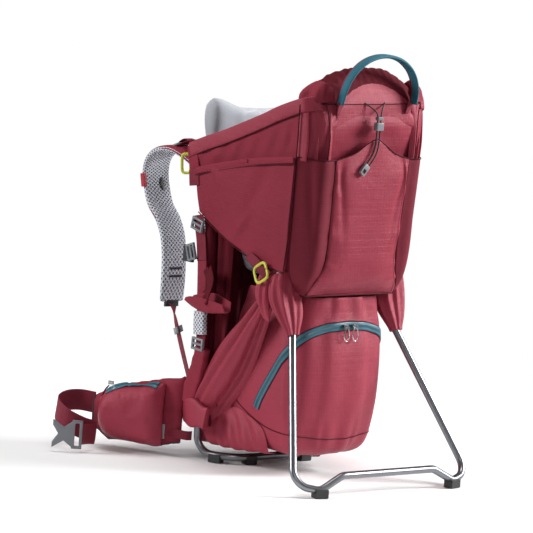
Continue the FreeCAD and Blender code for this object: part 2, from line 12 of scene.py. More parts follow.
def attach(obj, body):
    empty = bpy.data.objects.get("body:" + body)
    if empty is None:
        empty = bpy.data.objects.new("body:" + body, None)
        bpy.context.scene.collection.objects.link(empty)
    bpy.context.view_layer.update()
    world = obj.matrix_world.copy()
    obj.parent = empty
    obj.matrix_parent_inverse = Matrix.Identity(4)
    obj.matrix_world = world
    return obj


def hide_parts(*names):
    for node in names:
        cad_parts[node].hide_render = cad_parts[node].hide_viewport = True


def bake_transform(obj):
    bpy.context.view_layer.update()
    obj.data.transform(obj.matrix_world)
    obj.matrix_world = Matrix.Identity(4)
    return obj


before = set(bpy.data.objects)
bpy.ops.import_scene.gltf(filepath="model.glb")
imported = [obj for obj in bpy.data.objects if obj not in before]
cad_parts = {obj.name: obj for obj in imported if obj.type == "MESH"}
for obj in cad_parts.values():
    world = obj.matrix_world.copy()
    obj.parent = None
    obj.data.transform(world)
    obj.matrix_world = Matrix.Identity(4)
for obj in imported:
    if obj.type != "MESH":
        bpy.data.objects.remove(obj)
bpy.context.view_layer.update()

bl_info = {
    "name": "Child carrier",
    "version": (1, 0, 0),
    "blender": (4, 5, 0),
    "location": "View3D > Sidebar > Carrier",
    "description": "Builds the cloth, webbing, padding and finishes of a framed child carrier",
    "category": "Object",
}

MM = 0.001
SIDES = (("left", -1), ("right", 1))
# The frame's origin is the middle of the footprint, this far from the rear bar of the base loop.
SHIFT_Y = 0.431


def mm(x, y, z):
    """A point given in millimetres from the rear bar of the base loop."""
    return Vector((x, y + SHIFT_Y, z)) * MM


def points(*triples, side=1):
    return [mm(side * x, y, z) for x, y, z in triples]


# ---------------------------------------------------------------- settings
def colour_setting(label, text, value):
    return FloatVectorProperty(name=label, description=text, subtype="COLOR", size=3, min=0, max=1,
        default=value)


def length_setting(label, text, value):
    return FloatProperty(name=label, description=text, unit="LENGTH", min=0, default=value)


class CarrierColours(bpy.types.PropertyGroup):
    """Colours that a maker would choose."""
    shell: colour_setting("Shell cloth", "Smooth cloth of the rear wall, bag and pockets",
        (0.295, 0.033, 0.058))
    side: colour_setting("Side cloth", "Matt cloth of the side panels and belt", (0.245, 0.026, 0.046))
    # Dark cloth of the headrest and the stirrup stays; on the pieces inside the cabin the same colour is
    # painted shade.
    shade: colour_setting("Dark cloth", "Dark inner cloth and the headrest front", (0.095, 0.0060, 0.0135))
    webbing: colour_setting("Webbing", "Straps and belt webbing", (0.175, 0.020, 0.036))
    lining: colour_setting("Lining", "Brushed lining and chin pad", (0.36, 0.372, 0.412))
    mesh: colour_setting("Spacer mesh", "Airy mesh on the straps and back", (0.66, 0.68, 0.75))
    teal: colour_setting("Zip tape", "Zip tapes and the inside of the handle", (0.028, 0.13, 0.18))
    clip: colour_setting("Bright clips", "Yellow-green entry buckles", (0.55, 0.55, 0.05))
    grey: colour_setting("Grey plastic", "Belt buckle and ladder locks", (0.19, 0.20, 0.22))


class CarrierSizes(bpy.types.PropertyGroup):
    """Sizes of sewn details."""
    piping: length_setting("Piping radius", "Radius of the sewn edge piping", 0.0016)
    cloth: length_setting("Cloth thickness", "Thickness of a single cloth panel", 0.0016)
    voxel: length_setting("Padding grain", "Mesh size of the simulated padding", 0.005)
    fold: length_setting("Fold depth", "Depth of the folds in the side drape", 0.007)


def colours():
    return bpy.context.scene.carrier_colours


def sizes():
    return bpy.context.scene.carrier_sizes


# ---------------------------------------------------------------- shader maths
class Value:
    """A shader socket that takes part in Python expressions."""

    def __init__(self, paint, socket):
        self.paint = paint
        self.socket = socket

    def maths(self, operation, *others):
        return self.paint.node("ShaderNodeMath", {"operation": operation}, dict(enumerate([self, *others])))

    def __add__(self, other):
        return self.maths("ADD", other)

    def __mul__(self, other):
        return self.maths("MULTIPLY", other)

    def __sub__(self, other):
        return self.maths("SUBTRACT", other)

    def __rsub__(self, other):
        return self.paint.node("ShaderNodeMath", {"operation": "SUBTRACT"}, {0: other, 1: self})

    __radd__ = __add__
    __rmul__ = __mul__

    def wave(self, pitch):
        """A sine from 0 to 1 that repeats every pitch."""
        return (self * (2 * math.pi / pitch)).maths("SINE") * 0.5 + 0.5

    def above(self, level, soft=0.1):
        return self.paint.node("ShaderNodeMapRange", {"interpolation_type": "SMOOTHSTEP"}, {
            "Value": self, "From Min": level - soft, "From Max": level + soft})


class Paint:
    """A material whose nodes are made by expressions."""

    def __init__(self, name, constants):
        self.material = bpy.data.materials.new(name)
        self.material.use_nodes = True
        self.tree = self.material.node_tree
        self.shader = self.tree.nodes["Principled BSDF"]
        for socket, value in constants.items():
            self.shader.inputs[socket].default_value = value

    def node(self, kind, settings=None, sockets=None, output=0):
        made = self.tree.nodes.new(kind)
        for key, value in (settings or {}).items():
            setattr(made, key, value)
        for key, value in (sockets or {}).items():
            if isinstance(value, Value):
                self.tree.links.new(value.socket, made.inputs[key])
            else:
                made.inputs[key].default_value = value
        return Value(self, made.outputs[output])

    def place(self, source="Object"):
        return self.node("ShaderNodeTexCoord", output=source)

    def axis(self, place, letter):
        return self.node("ShaderNodeSeparateXYZ", None, {0: place}, output=letter)

    def noise(self, place, scale, detail=3.0, stretch=None):
        if stretch:
            place = self.node("ShaderNodeVectorMath", {"operation": "MULTIPLY"}, {0: place, 1: stretch})
        return self.node("ShaderNodeTexNoise", None, {"Vector": place, "Scale": scale, "Detail": detail})

    def mix(self, factor, a, b):
        kind = {"data_type": "RGBA", "clamp_factor": True}
        rgba = [tuple(c) + (1.0,) if not isinstance(c, Value) else c for c in (a, b)]
        return self.node("ShaderNodeMix", kind, {0: factor, 6: rgba[0], 7: rgba[1]}, output=2)

    def feed(self, socket, value):
        self.tree.links.new(value.socket, self.shader.inputs[socket])
        return self

    def bump(self, height, depth, strength=1.0):
        return self.feed("Normal", self.node("ShaderNodeBump", None, {
            "Height": height, "Distance": depth, "Strength": strength}))


def tint(colour, factor):
    return tuple(min(1.0, c * factor) for c in colour[:3])


def shine(colour):
    """Highlight colour of dyed cloth: about a third white, the rest its own hue."""
    return (*(0.35 + 0.65 * c / max(colour) for c in colour), 1.0)


def shell_cloth(name, colour, rough=0.40, sheen=0.10, weave=0.0011, crease=0.006):
    """Coated nylon: a tight weave, soft creases and a faint change of shade over the panel."""
    paint = Paint(name, {"Sheen Weight": sheen, "Sheen Tint": (*tint(colour, 2.2), 1.0),
        "Specular Tint": shine(colour), "Specular IOR Level": 0.5})
    place = paint.place()
    threads = paint.axis(place, "Z").wave(weave) + (paint.axis(place, "X") + paint.axis(place,
        "Y")).wave(weave)
    cells = paint.axis(place, "Z").wave(0.006).above(0.97, 0.03) + \
        (paint.axis(place, "X") - paint.axis(place, "Y")).wave(0.006).above(0.97, 0.03)
    slubs = paint.noise(place, 90.0, 4.0, (0.25, 0.25, 6.0))
    patches = paint.noise(place, 9.0, 3.0)
    shade = patches * 0.45 + slubs * 0.35 + threads * 0.10
    paint.feed("Base Color", paint.mix(shade, tint(colour, 0.72), tint(colour, 1.30)))
    paint.feed("Roughness", patches * 0.16 + (rough - 0.06))
    paint.bump(threads * 0.05 + cells * 0.06 + slubs * 0.06 + paint.noise(place, 26.0, 3.0), crease, 0.35)
    return paint.material


def matt_cloth(name, colour, rough=0.62):
    """Heavier matt cloth with level ribs."""
    paint = Paint(name, {"Sheen Weight": 0.12, "Sheen Tint": (*tint(colour, 2.2), 1.0),
        "Specular Tint": shine(colour), "Specular IOR Level": 0.25})
    place = paint.place()
    ribs = paint.axis(place, "Z").wave(0.0042).above(0.80, 0.2)
    threads = paint.axis(place, "Z").wave(0.0010) + (paint.axis(place, "X") - paint.axis(place,
        "Y")).wave(0.0012)
    slubs = paint.noise(place, 120.0, 4.0, (0.3, 0.3, 5.0))
    patches = paint.noise(place, 11.0, 3.0)
    shade = patches * 0.5 + slubs * 0.3 + ribs * 0.10
    paint.feed("Base Color", paint.mix(shade, tint(colour, 0.70), tint(colour, 1.32)))
    paint.feed("Roughness", patches * 0.12 + (rough - 0.06))
    paint.bump(threads * 0.06 + ribs * 0.05 + slubs * 0.08 + paint.noise(place, 30.0, 2.0), 0.004, 0.35)
    return paint.material


def webbing_weave(name, colour, rough=0.6):
    """Woven strap: ribs across its length and a twill, from its own map."""
    paint = Paint(name, {"Sheen Weight": 0.05, "Sheen Tint": (*tint(colour, 2.0), 1.0),
        "Specular Tint": shine(colour), "Specular IOR Level": 0.35})
    place = paint.place("UV")
    across = paint.axis(place, "X")
    along_strap = paint.axis(place, "Y")
    twill = (along_strap + across * 0.6).wave(0.0022)
    ribs = across.wave(0.0030)
    wear = paint.noise(paint.place(), 60.0, 3.0)
    shade = twill * 0.35 + ribs * 0.2 + wear * 0.45
    paint.feed("Base Color", paint.mix(shade, tint(colour, 0.62), tint(colour, 1.40)))
    paint.feed("Roughness", wear * 0.15 + (rough - 0.07))
    paint.bump(twill * 0.6 + ribs * 0.4, 0.0005, 0.8)
    return paint.material


def spacer_mesh(name, colour, pitch=0.0078):
    """Thick airy mesh: rows of oval openings in a pale knit, painted dark as the shade inside them."""
    paint = Paint(name, {"Sheen Weight": 0.3, "Specular IOR Level": 0.25})
    place = paint.place("UV")
    across = paint.axis(place, "X")
    along_strap = paint.axis(place, "Y")
    even = across.wave(pitch) * along_strap.wave(pitch)
    odd = (across + pitch / 2).wave(pitch) * (along_strap + pitch / 2).wave(pitch)
    shaded_holes = (even + odd).above(0.66, 0.2)
    fuzz = paint.noise(paint.place(), 400.0, 2.0)
    thread = paint.mix(fuzz, tint(colour, 0.8), tint(colour, 1.2))
    # The openings get a dark tint of the knit: painted shade inside the mesh.
    paint.feed("Base Color", paint.mix(shaded_holes, thread, tint(colour, 0.22)))
    paint.feed("Roughness", fuzz * 0.2 + 0.7)
    paint.bump((1 - shaded_holes) + fuzz * 0.2, 0.0018, 0.9)
    return paint.material


def brushed_lining(name, colour):
    """Soft brushed lining with a short uneven nap."""
    paint = Paint(name, {"Sheen Weight": 0.6, "Sheen Roughness": 0.6, "Specular IOR Level": 0.2})
    place = paint.place()
    nap = paint.noise(place, 420.0, 4.0)
    patches = paint.noise(place, 14.0, 3.0)
    paint.feed("Base Color", paint.mix(nap * 0.6 + patches * 0.4, tint(colour, 0.78), tint(colour, 1.18)))
    paint.feed("Roughness", nap * 0.1 + 0.82)
    paint.bump(nap * 0.3 + patches, 0.003, 0.4)
    return paint.material


def moulded(name, colour, rough=0.42, grain=900.0):
    """Moulded plastic with a fine spark grain."""
    paint = Paint(name, {"Specular IOR Level": 0.5})
    place = paint.place()
    spark = paint.noise(place, grain, 2.0)
    patches = paint.noise(place, 30.0, 2.0)
    paint.feed("Base Color", paint.mix(patches * 0.6 + spark * 0.4, tint(colour, 0.85), tint(colour, 1.15)))
    paint.feed("Roughness", spark * 0.16 + (rough - 0.08))
    paint.bump(spark, 0.0002, 0.5)
    return paint.material


def polished_tube(name, colour, rough=0.13):
    """Anodised tube, drawn lengthwise, with faint handling marks."""
    paint = Paint(name, {"Metallic": 1.0})
    place = paint.place()
    marks = paint.noise(place, 70.0, 4.0)
    drawn = paint.noise(place, 500.0, 2.0, (1.0, 1.0, 0.04))
    paint.feed("Base Color", paint.mix(marks, tint(colour, 0.85), tint(colour, 1.1)))
    paint.feed("Roughness", marks * 0.10 + drawn * 0.06 + rough - 0.06)
    paint.bump(drawn, 0.0001, 0.3)
    return paint.material


def zip_tape(name, colour):
    """Coated zip tape with the fine cross lines of its coil down the middle."""
    paint = Paint(name, {"Specular IOR Level": 0.5})
    place = paint.place("UV")
    across = paint.axis(place, "X")
    coil = 1 - across.maths("ABSOLUTE").above(0.0022, 0.0004)
    teeth = paint.axis(place, "Y").wave(0.0018)
    paint.feed("Base Color", paint.mix(coil * 0.7 + teeth * 0.12, tint(colour, 1.15), tint(colour, 0.35)))
    paint.feed("Roughness", coil * 0.15 + 0.42)
    paint.bump(coil * teeth * 0.7 + coil * 0.5 + paint.noise(paint.place(), 300.0, 2.0) * 0.2, 0.001, 0.7)
    return paint.material


FINISHES = {}


def finish(name):
    """The named finish, made when it is first asked for."""
    if name not in FINISHES:
        c = colours()
        makers = {
            "shell": lambda: shell_cloth("shell_cloth", c.shell),
            "side": lambda: matt_cloth("side_cloth", c.side),
            # Dark cloth, and painted shade on the pieces inside the cabin.
            "shade": lambda: matt_cloth("dark_cloth_and_cabin_shade", c.shade, 0.8),
            "webbing": lambda: webbing_weave("belt_webbing", c.webbing),
            "piping": lambda: webbing_weave("edge_piping", tint(c.shade, 0.6)),
            # Corner pockets: the side cloth darkened, as painted shade where the pack turns away from the
            # light.
            "corner": lambda: matt_cloth("shaded_corner_cloth", tint(c.side, 0.72)),
            "pipe_grey": lambda: webbing_weave("grey_piping", (0.05, 0.055, 0.065)),
            "mesh_plain": lambda: brushed_lining("mesh_lining", tint(c.mesh, 0.7)),
            "lining": lambda: brushed_lining("brushed_lining", c.lining),
            "mesh": lambda: spacer_mesh("spacer_mesh", c.mesh),
            "zip": lambda: zip_tape("zip_tape", c.teal),
            "teal": lambda: webbing_weave("handle_webbing", c.teal),
            "clip": lambda: moulded("bright_clip", c.clip, 0.35),
            "grey": lambda: moulded("grey_plastic", c.grey, 0.42),
            "pale": lambda: moulded("pale_plastic", (0.26, 0.27, 0.29), 0.3),
            "dark": lambda: moulded("dark_plastic", (0.035, 0.037, 0.042), 0.4),
            "red": lambda: moulded("red_plastic", (0.42, 0.03, 0.05), 0.4),
            "rubber": lambda: moulded("foot_rubber", (0.02, 0.02, 0.021), 0.6, 500.0),
            "tube": lambda: polished_tube("anodised_tube", (0.24, 0.25, 0.27), 0.30),
            "steel": lambda: polished_tube("pull_steel", (0.74, 0.75, 0.77), 0.2),
        }
        FINISHES[name] = makers[name]()
    return FINISHES[name]


# ---------------------------------------------------------------- modelling
def along(line, t):
    """The point at t, from 0 to 1, on the smooth line through the given points."""
    last = len(line) - 1
    i = min(int(t * last), last - 1)
    f = t * last - i
    p1, p2 = line[i], line[i + 1]
    p0 = line[i - 1] if i > 0 else p1 * 2 - p2
    p3 = line[i + 2] if i + 2 <= last else p2 * 2 - p1
    return (p1 * 2 + (p2 - p0) * f + (p0 * 2 - p1 * 5 + p2 * 4 - p3) * f ** 2
            + (p1 * 3 - p0 - p2 * 3 + p3) * f ** 3) * 0.5


def line_length(line, steps=40):
    spots = [along(line, i / steps) for i in range(steps + 1)]
    return sum((b - a).length for a, b in zip(spots, spots[1:]))


def new_piece(name, bm, *finish_names, smooth=True):
    mesh = bpy.data.meshes.new(name)
    for face in bm.faces:
        face.smooth = smooth
    bm.to_mesh(mesh)
    bm.free()
    for finish_name in finish_names:
        mesh.materials.append(finish(finish_name))
    piece = bpy.data.objects.new(name, mesh)
    bpy.context.scene.collection.objects.link(piece)
    return piece


def rounder(piece, levels=1):
    step = piece.modifiers.new("rounder", "SUBSURF")
    step.levels = step.render_levels = levels
    return piece


def thicken(piece, thickness, offset=-1.0):
    step = piece.modifiers.new("thickness", "SOLIDIFY")
    step.thickness = thickness
    step.offset = offset
    step.use_even_offset = True
    return piece


def soften(piece, width, segments=2):
    step = piece.modifiers.new("soft_edges", "BEVEL")
    step.width = width
    step.segments = segments
    step.limit_method = "ANGLE"
    step.angle_limit = math.radians(40)
    return piece


def grid_uv(bm, width, length):
    """Give each loop its place on the cloth, in metres, from the grid's own 0 to 1 map."""
    layer = bm.loops.layers.uv.active
    for face in bm.faces:
        for loop in face.loops:
            u, v = loop[layer].uv
            loop[layer].uv = ((u - 0.5) * width, v * length)


def cloth(name, rows, grid, finish_name, thick=None, ripple=None, levels=1):
    """A sheet through rows of points. ripple(u, v) moves it out along its normal."""
    bm = bmesh.new()
    bm.loops.layers.uv.new("cloth")
    bmesh.ops.create_grid(bm, x_segments=grid[0], y_segments=grid[1], size=0.5, calc_uvs=True)
    places = [(v, v.co.x + 0.5, v.co.y + 0.5) for v in bm.verts]
    for v, s, t in places:
        v.co = along([along(row, s) for row in rows], t)
    bm.normal_update()
    if ripple:
        moves = [(v, v.normal.copy(), ripple(s, t)) for v, s, t in places]
        for v, normal, height in moves:
            v.co += normal * height
    grid_uv(bm, line_length(rows[len(rows) // 2]), line_length([row[0] for row in rows]))
    piece = new_piece(name, bm, finish_name)
    thicken(piece, thick if thick else sizes().cloth)
    return rounder(piece, levels)


def section(width, thick, count=16, square=0.45):
    """A rounded-rectangle section, as offsets across and out."""
    ring = []
    for i in range(count):
        a = 2 * math.pi * i / count
        c, s = math.cos(a), math.sin(a)
        ring.append((math.copysign(abs(c) ** square, c) * width / 2,
            math.copysign(abs(s) ** square, s) * thick / 2))
    return ring


def perimeter(ring):
    """How far each point of a section lies round it from the middle of its outer face."""
    steps = [0.0]
    for (x0, y0), (x1, y1) in zip(ring, ring[1:] + ring[:1]):
        steps.append(steps[-1] + math.hypot(x1 - x0, y1 - y0))
    return [step - steps[len(ring) // 4] for step in steps]


def strip(name, line, width, thick, finish_names, across=None, ups=None, steps=60, swell=None, count=16,
          square=0.45, faces=None):
    """A closed band along a line. Its width lies along across, or level with the surface normals ups.

    swell(t) scales the width and the thickness, and faces(angle) picks a finish round the section.
    """
    ring = section(width, thick, count, square)
    bm = bmesh.new()
    bm.loops.layers.uv.new("cloth")
    bmesh.ops.create_grid(bm, x_segments=count, y_segments=steps, size=0.5, calc_uvs=True)
    for v in bm.verts:
        i, t = round((v.co.x + 0.5) * count), v.co.y + 0.5
        ahead = along(line, min(1.0, t + 0.01)) - along(line, max(0.0, t - 0.01))
        if ups:
            up = along(ups, t)
            out = (up - ahead * (up.dot(ahead) / ahead.length_squared)).normalized()
            side = ahead.cross(out).normalized()
        else:
            side = (across - ahead * (across.dot(ahead) / ahead.length_squared)).normalized()
            out = side.cross(ahead).normalized()
        w, h = swell(t) if swell else (1.0, 1.0)
        a, b = ring[i % count]
        v.co = along(line, t) + side * (a * w) + out * (b * h)
    layer = bm.loops.layers.uv.active
    span = line_length(line)
    around = perimeter(ring)
    for face in bm.faces:
        middle = sum(loop[layer].uv.x for loop in face.loops) / 4
        for loop in face.loops:
            u, t = loop[layer].uv
            loop[layer].uv = (around[round(u * count)], t * span)
        if faces:
            face.material_index = faces(middle)
    bmesh.ops.remove_doubles(bm, verts=bm.verts, dist=1e-6)
    bmesh.ops.holes_fill(bm, edges=[e for e in bm.edges if e.is_boundary], sides=0)
    bmesh.ops.recalc_face_normals(bm, faces=bm.faces)
    return new_piece(name, bm, *([finish_names] if isinstance(finish_names, str) else finish_names))


def piping(name, line, radius, finish_name="piping", steps=60):
    return strip(name, line, 2 * radius, 2 * radius, finish_name, across=Vector((0.31, 0.42, 0.85)),
                 steps=steps, count=8, square=1.0)


def merged_copy(*nodes):
    """A joined copy of CAD nodes with shared corners."""
    bm = bmesh.new()
    for node in nodes:
        bm.from_mesh(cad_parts[node].data)
    bmesh.ops.remove_doubles(bm, verts=bm.verts, dist=2e-5)
    bmesh.ops.dissolve_limit(bm, angle_limit=math.radians(2), verts=bm.verts, edges=bm.edges)
    return bm


def moulded_piece(name, node, finish_name, body, bevel=0.0008):
    """A CAD piece with its edges rounded, as moulding leaves them."""
    piece = new_piece(name, merged_copy(node), finish_name)
    soften(piece, bevel)
    return settle(piece, body, node)


def baked(piece):
    """Replace a piece's mesh by its shape with every modifier applied."""
    bpy.context.view_layer.update()
    shaped = piece.evaluated_get(bpy.context.evaluated_depsgraph_get())
    mesh = bpy.data.meshes.new_from_object(shaped)
    piece.modifiers.clear()
    piece.data = mesh
    return piece


def stuffed(name, bm, finish_name, cap, pressure=4.0, shrink=0.0, voxel=None, rounds=4):
    """Padding made by a cloth simulation that swells a slightly smaller shape."""
    piece = new_piece(name, bm, finish_name)
    grain = piece.modifiers.new("grain", "REMESH")
    grain.mode = "VOXEL"
    grain.voxel_size = voxel if voxel else sizes().voxel
    grain.use_smooth_shade = True
    smooth = piece.modifiers.new("smooth", "SMOOTH")
    smooth.iterations = rounds
    baked(piece)
    for v in piece.data.vertices:
        v.co -= v.normal * shrink
    before = [v.co.copy() for v in piece.data.vertices]
    cover = piece.modifiers.new("cover", "CLOTH")
    cover.settings.use_pressure = True
    cover.settings.uniform_pressure_force = pressure
    cover.settings.quality = 4
    cover.settings.effector_weights.gravity = 0
    cover.settings.tension_stiffness = 12
    cover.point_cache.frame_end = 20
    for step in range(1, 21):
        bpy.context.scene.frame_set(step)
    baked(piece)
    bpy.context.scene.frame_set(1)
    for v, start in zip(piece.data.vertices, before):
        move = v.co - start
        if move.length > cap:
            v.co = start + move * (cap / move.length)
    if not piece.data.materials:
        piece.data.materials.append(finish(finish_name))
    for face in piece.data.polygons:
        face.use_smooth = True
    return piece


def quilt(piece, height):
    """Move each point along its normal by height(point)."""
    moves = [(v, v.normal.copy() * height(v.co)) for v in piece.data.vertices]
    for v, move in moves:
        v.co += move
    return piece


def open_ring(name, centre, up, out, width, height, radius, finish_name):
    """A moulded ring with rounded corners, upright along up and facing out."""
    up = up.normalized()
    side = up.cross(out).normalized()
    count = 40
    line = []
    for i in range(count + 1):
        a = 2 * math.pi * i / count
        x, y = math.cos(a), math.sin(a)
        line.append(centre + side * (math.copysign(abs(x) ** 0.5, x) * width / 2)
                    + up * (math.copysign(abs(y) ** 0.5, y) * height / 2))
    return rounder(strip(name, line, 2 * radius, 1.6 * radius, finish_name, ups=[side.cross(up)] * len(line),
        steps=80,
                         count=10, square=0.7))


def surface_of(piece):
    bpy.context.view_layer.update()
    return BVHTree.FromObject(piece, bpy.context.evaluated_depsgraph_get())


def lay(tree, line, lift=0.0006, count=24, inward=None):
    """Points of a line dropped on a surface, and the normals there.

    inward(point) is the way to look for the surface from outside; without it the nearest point is taken.
    """
    spots, normals = [], []
    for i in range(count + 1):
        place = along(line, i / count)
        if inward:
            way = inward(place).normalized()
            spot, normal, _, _ = tree.ray_cast(place - way * 0.05, way)
            if spot is None:
                continue
            normal = normal if normal.dot(way) < 0 else -normal
        else:
            spot, normal, _, _ = tree.find_nearest(place)
        spots.append(spot + normal * lift)
        normals.append(normal)
    return spots, normals


def settle(piece, body, *nodes, slot=None):
    """Put a finished piece on its body, in place of its CAD nodes."""
    if nodes:
        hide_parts(*nodes)
    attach(piece, body)
    return piece


def bump_field(point, scale, seed=0.0):
    return noise.noise(point * scale + Vector((seed, seed * 0.7, -seed)))


def right_twin(piece, name):
    """The same piece on the other side, with the same modifiers and finishes."""
    bm = bmesh.new()
    bm.from_mesh(piece.data)
    bmesh.ops.transform(bm, matrix=Matrix.Diagonal((-1, 1, 1, 1)), verts=bm.verts)
    bmesh.ops.reverse_faces(bm, faces=bm.faces)
    twin = new_piece(name, bm)
    for material in piece.data.materials:
        twin.data.materials.append(material)
    for step in piece.modifiers:
        copy = twin.modifiers.new(step.name, step.type)
        for key in ("thickness", "offset", "use_even_offset", "levels", "render_levels", "width",
                    "segments", "limit_method", "angle_limit"):
            if hasattr(step, key):
                setattr(copy, key, getattr(step, key))
    return twin


def both_sides(piece, body, nodes=(), twin_body=None, twin_nodes=None):
    """Settle a left piece, and its twin on the right."""
    twin = right_twin(piece, piece.name.replace("left", "right"))
    settle(piece, body, *nodes)
    settle(twin, twin_body or body, *(nodes if twin_nodes is None else twin_nodes))
    return piece, twin


def both_span(piece, start, end, nodes=()):
    """A left piece and its right twin, baked where they stand in place of their CAD nodes; start and end are
    not used.
    """
    twin = right_twin(piece, piece.name.replace("left", "right"))
    for part, mirror in ((piece, 1), (twin, -1)):
        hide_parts(*nodes)
        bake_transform(part)
    return piece, twin


def at_side(x, pairs):
    """Points of a left panel: one X, and pairs of Y and Z."""
    return [mm(x, y, z) for y, z in pairs]


Plane = namedtuple("Plane", "spot normal")


def ridge(value, centre, width):
    """A smooth bump of height 1 at centre."""
    return math.exp(-((value - centre) / width) ** 2)


# ---------------------------------------------------------------- stage and frame
class CARRIER_OT_stage(bpy.types.Operator):
    """Camera, soft studio light and a plain pale floor"""
    bl_idname = "carrier.stage"
    bl_label = "Stage"

    def execute(self, context):
        scene = context.scene
        scene.view_settings.view_transform = "Standard"
        self.aim_camera(scene)
        self.light_studio(scene)
        self.lay_floor()
        return {"FINISHED"}

    def aim_camera(self, scene):
        azimuth, elevation, roll = (math.radians(a) for a in (-41.0, 7.6, 4.38))
        back = Vector((math.sin(azimuth) * math.cos(elevation), -math.cos(azimuth) * math.cos(elevation),
                       math.sin(elevation)))
        level = (-back).cross(Vector((0, 0, 1))).normalized()
        upright = level.cross(-back)
        right = level * math.cos(roll) + upright * math.sin(roll)
        up = upright * math.cos(roll) - level * math.sin(roll)
        lens = bpy.data.cameras.new("studio_camera")
        lens.sensor_width = 36.0
        lens.lens = 324.2
        lens.clip_end = 50.0
        camera = bpy.data.objects.new("studio_camera", lens)
        place = mm(0, -100, 362.8) - right * 0.1092 + back * 8.301
        camera.matrix_world = Matrix.Translation(place) @ Matrix((right, up, back)).transposed().to_4x4()
        scene.collection.objects.link(camera)
        scene.camera = camera

    def light_studio(self, scene):
        lamps = (("key_right", (3.7, -2.3, 2.2), 1.9, 360), ("fill_left", (-3.6, 2.3, 2.0), 2.0, 150),
                 ("top", (0.1, 0.5, 4.2), 2.2, 70), ("front_wash", (-2.8, -4.6, 3.2), 2.2, 42))
        for name, place, size, power in lamps:
            lamp = bpy.data.lights.new(name, "AREA")
            lamp.shape = "DISK"
            lamp.size = size
            lamp.energy = power
            holder = bpy.data.objects.new(name, lamp)
            aim = Vector((0, -0.05, 0.35)) - Vector(place)
            holder.matrix_world = Matrix.Translation(place) @ aim.to_track_quat("-Z",
                "Y").to_matrix().to_4x4()
            scene.collection.objects.link(holder)
        world = bpy.data.worlds.new("studio")
        world.use_nodes = True
        tree = world.node_tree
        tree.nodes.clear()
        seen = tree.nodes.new("ShaderNodeBackground")
        seen.inputs["Color"].default_value = (1, 1, 1, 1)
        glow = tree.nodes.new("ShaderNodeBackground")
        glow.inputs["Color"].default_value = (1, 1, 1, 1)
        glow.inputs["Strength"].default_value = 0.13
        rays = tree.nodes.new("ShaderNodeLightPath")
        mixed = tree.nodes.new("ShaderNodeMixShader")
        result = tree.nodes.new("ShaderNodeOutputWorld")
        tree.links.new(rays.outputs["Is Camera Ray"], mixed.inputs[0])
        tree.links.new(glow.outputs[0], mixed.inputs[1])
        tree.links.new(seen.outputs[0], mixed.inputs[2])
        tree.links.new(mixed.outputs[0], result.inputs["Surface"])
        scene.world = world

    def lay_floor(self):
        bm = bmesh.new()
        bmesh.ops.create_grid(bm, x_segments=2, y_segments=2, size=3.0)
        paint = Paint("pale_floor", {"Roughness": 0.9, "Specular IOR Level": 0.0})
        paint.feed("Base Color", paint.mix(paint.noise(paint.place(), 3.0), (0.93, 0.93, 0.93),
            (0.95, 0.95, 0.95)))
        reach = paint.node("ShaderNodeVectorMath", {"operation": "LENGTH"}, {0: paint.place()}, output=1)
        paint.feed("Alpha", 1 - reach.above(0.85, 0.45))
        floor = new_piece("floor", bm)
        floor.data.materials.append(paint.material)


class CARRIER_OT_frame(bpy.types.Operator):
    """Finishes of the tubes, joints and moulded parts that keep their shape"""
    bl_idname = "carrier.frame"
    bl_label = "Frame and stand"

    def execute(self, context):
        finishes = {
            "tube": ("frame_base_loop", "frame_cross_bar", "frame_uprights", "kickstand_loop", "rear_hoop",
                     "side_struts"),
            "steel": ("hinge_pins", "zip_slider_left", "zip_slider_right", "zip_pull_left", "zip_pull_right",
                      "hip_zip_slider_left", "hip_zip_slider_right"),
            "dark": ("hinge_brackets", "kickstand_eyes", "harness_buckle", "yoke_plate"),
            "red": ("sternum_slider_left", "sternum_slider_right"),
            "rubber": ("base_feet", "kickstand_feet"),
        }
        for finish_name, nodes in finishes.items():
            for node in nodes:
                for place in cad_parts[node].material_slots:
                    place.material = finish(finish_name)
        for node, finish_name, body in (("hip_buckle_male", "grey", "hip_belt_left"),
                                        ("hip_buckle_female", "grey", "hip_belt_right"),
                                        ("ladder_locks", "grey", "pack"),
                                        ("strap_adjusters", "grey", "pack"), ("cord_end", "pale", "pack")):
            moulded_piece(node + "_moulded", node, finish_name, body)
        moulded_piece("cord_lock_body", "cord_lock_barrel", "pale", "cord_lock")
        moulded_piece("cord_lock_cap", "cord_lock_button", "grey", "cord_lock_button")
        return {"FINISHED"}


class CARRIER_OT_cord(bpy.types.Operator):
    """Elastic cord of the rear pocket"""
    bl_idname = "carrier.cord"
    bl_label = "Pocket cord"

    def execute(self, context):
        route = points((-23, -183, 658), (-13, -190, 651), (-4.8, -197, 643), (-3.4, -198, 633),
                       (-3.4, -198, 592), (-8, -199.5, 574), (-18, -199.5, 561), (-26, -199.5, 551),
                       (-21.5, -199.5, 547.5), (-12, -199.5, 557), (-1, -199.5, 573), (3.4, -198, 592),
                       (3.4, -198, 633), (4.8, -197, 643), (13, -190, 651), (23, -183, 658))
        line = bpy.data.curves.new("pocket_cord_line", "CURVE")
        line.dimensions = "3D"
        line.bevel_depth = 0.0013
        line.bevel_resolution = 3
        line.use_fill_caps = True
        spline = line.splines.new("NURBS")
        spline.points.add(len(route) - 1)
        for control, place in zip(spline.points, route):
            control.co = (*place, 1.0)
        spline.order_u = 3
        spline.use_endpoint_u = True
        spline.resolution_u = 8
        line.materials.append(finish("rubber"))
        cord = bpy.data.objects.new("pocket_cord_line", line)
        context.scene.collection.objects.link(cord)
        settle(cord, "pack", "pocket_cord")
        return {"FINISHED"}


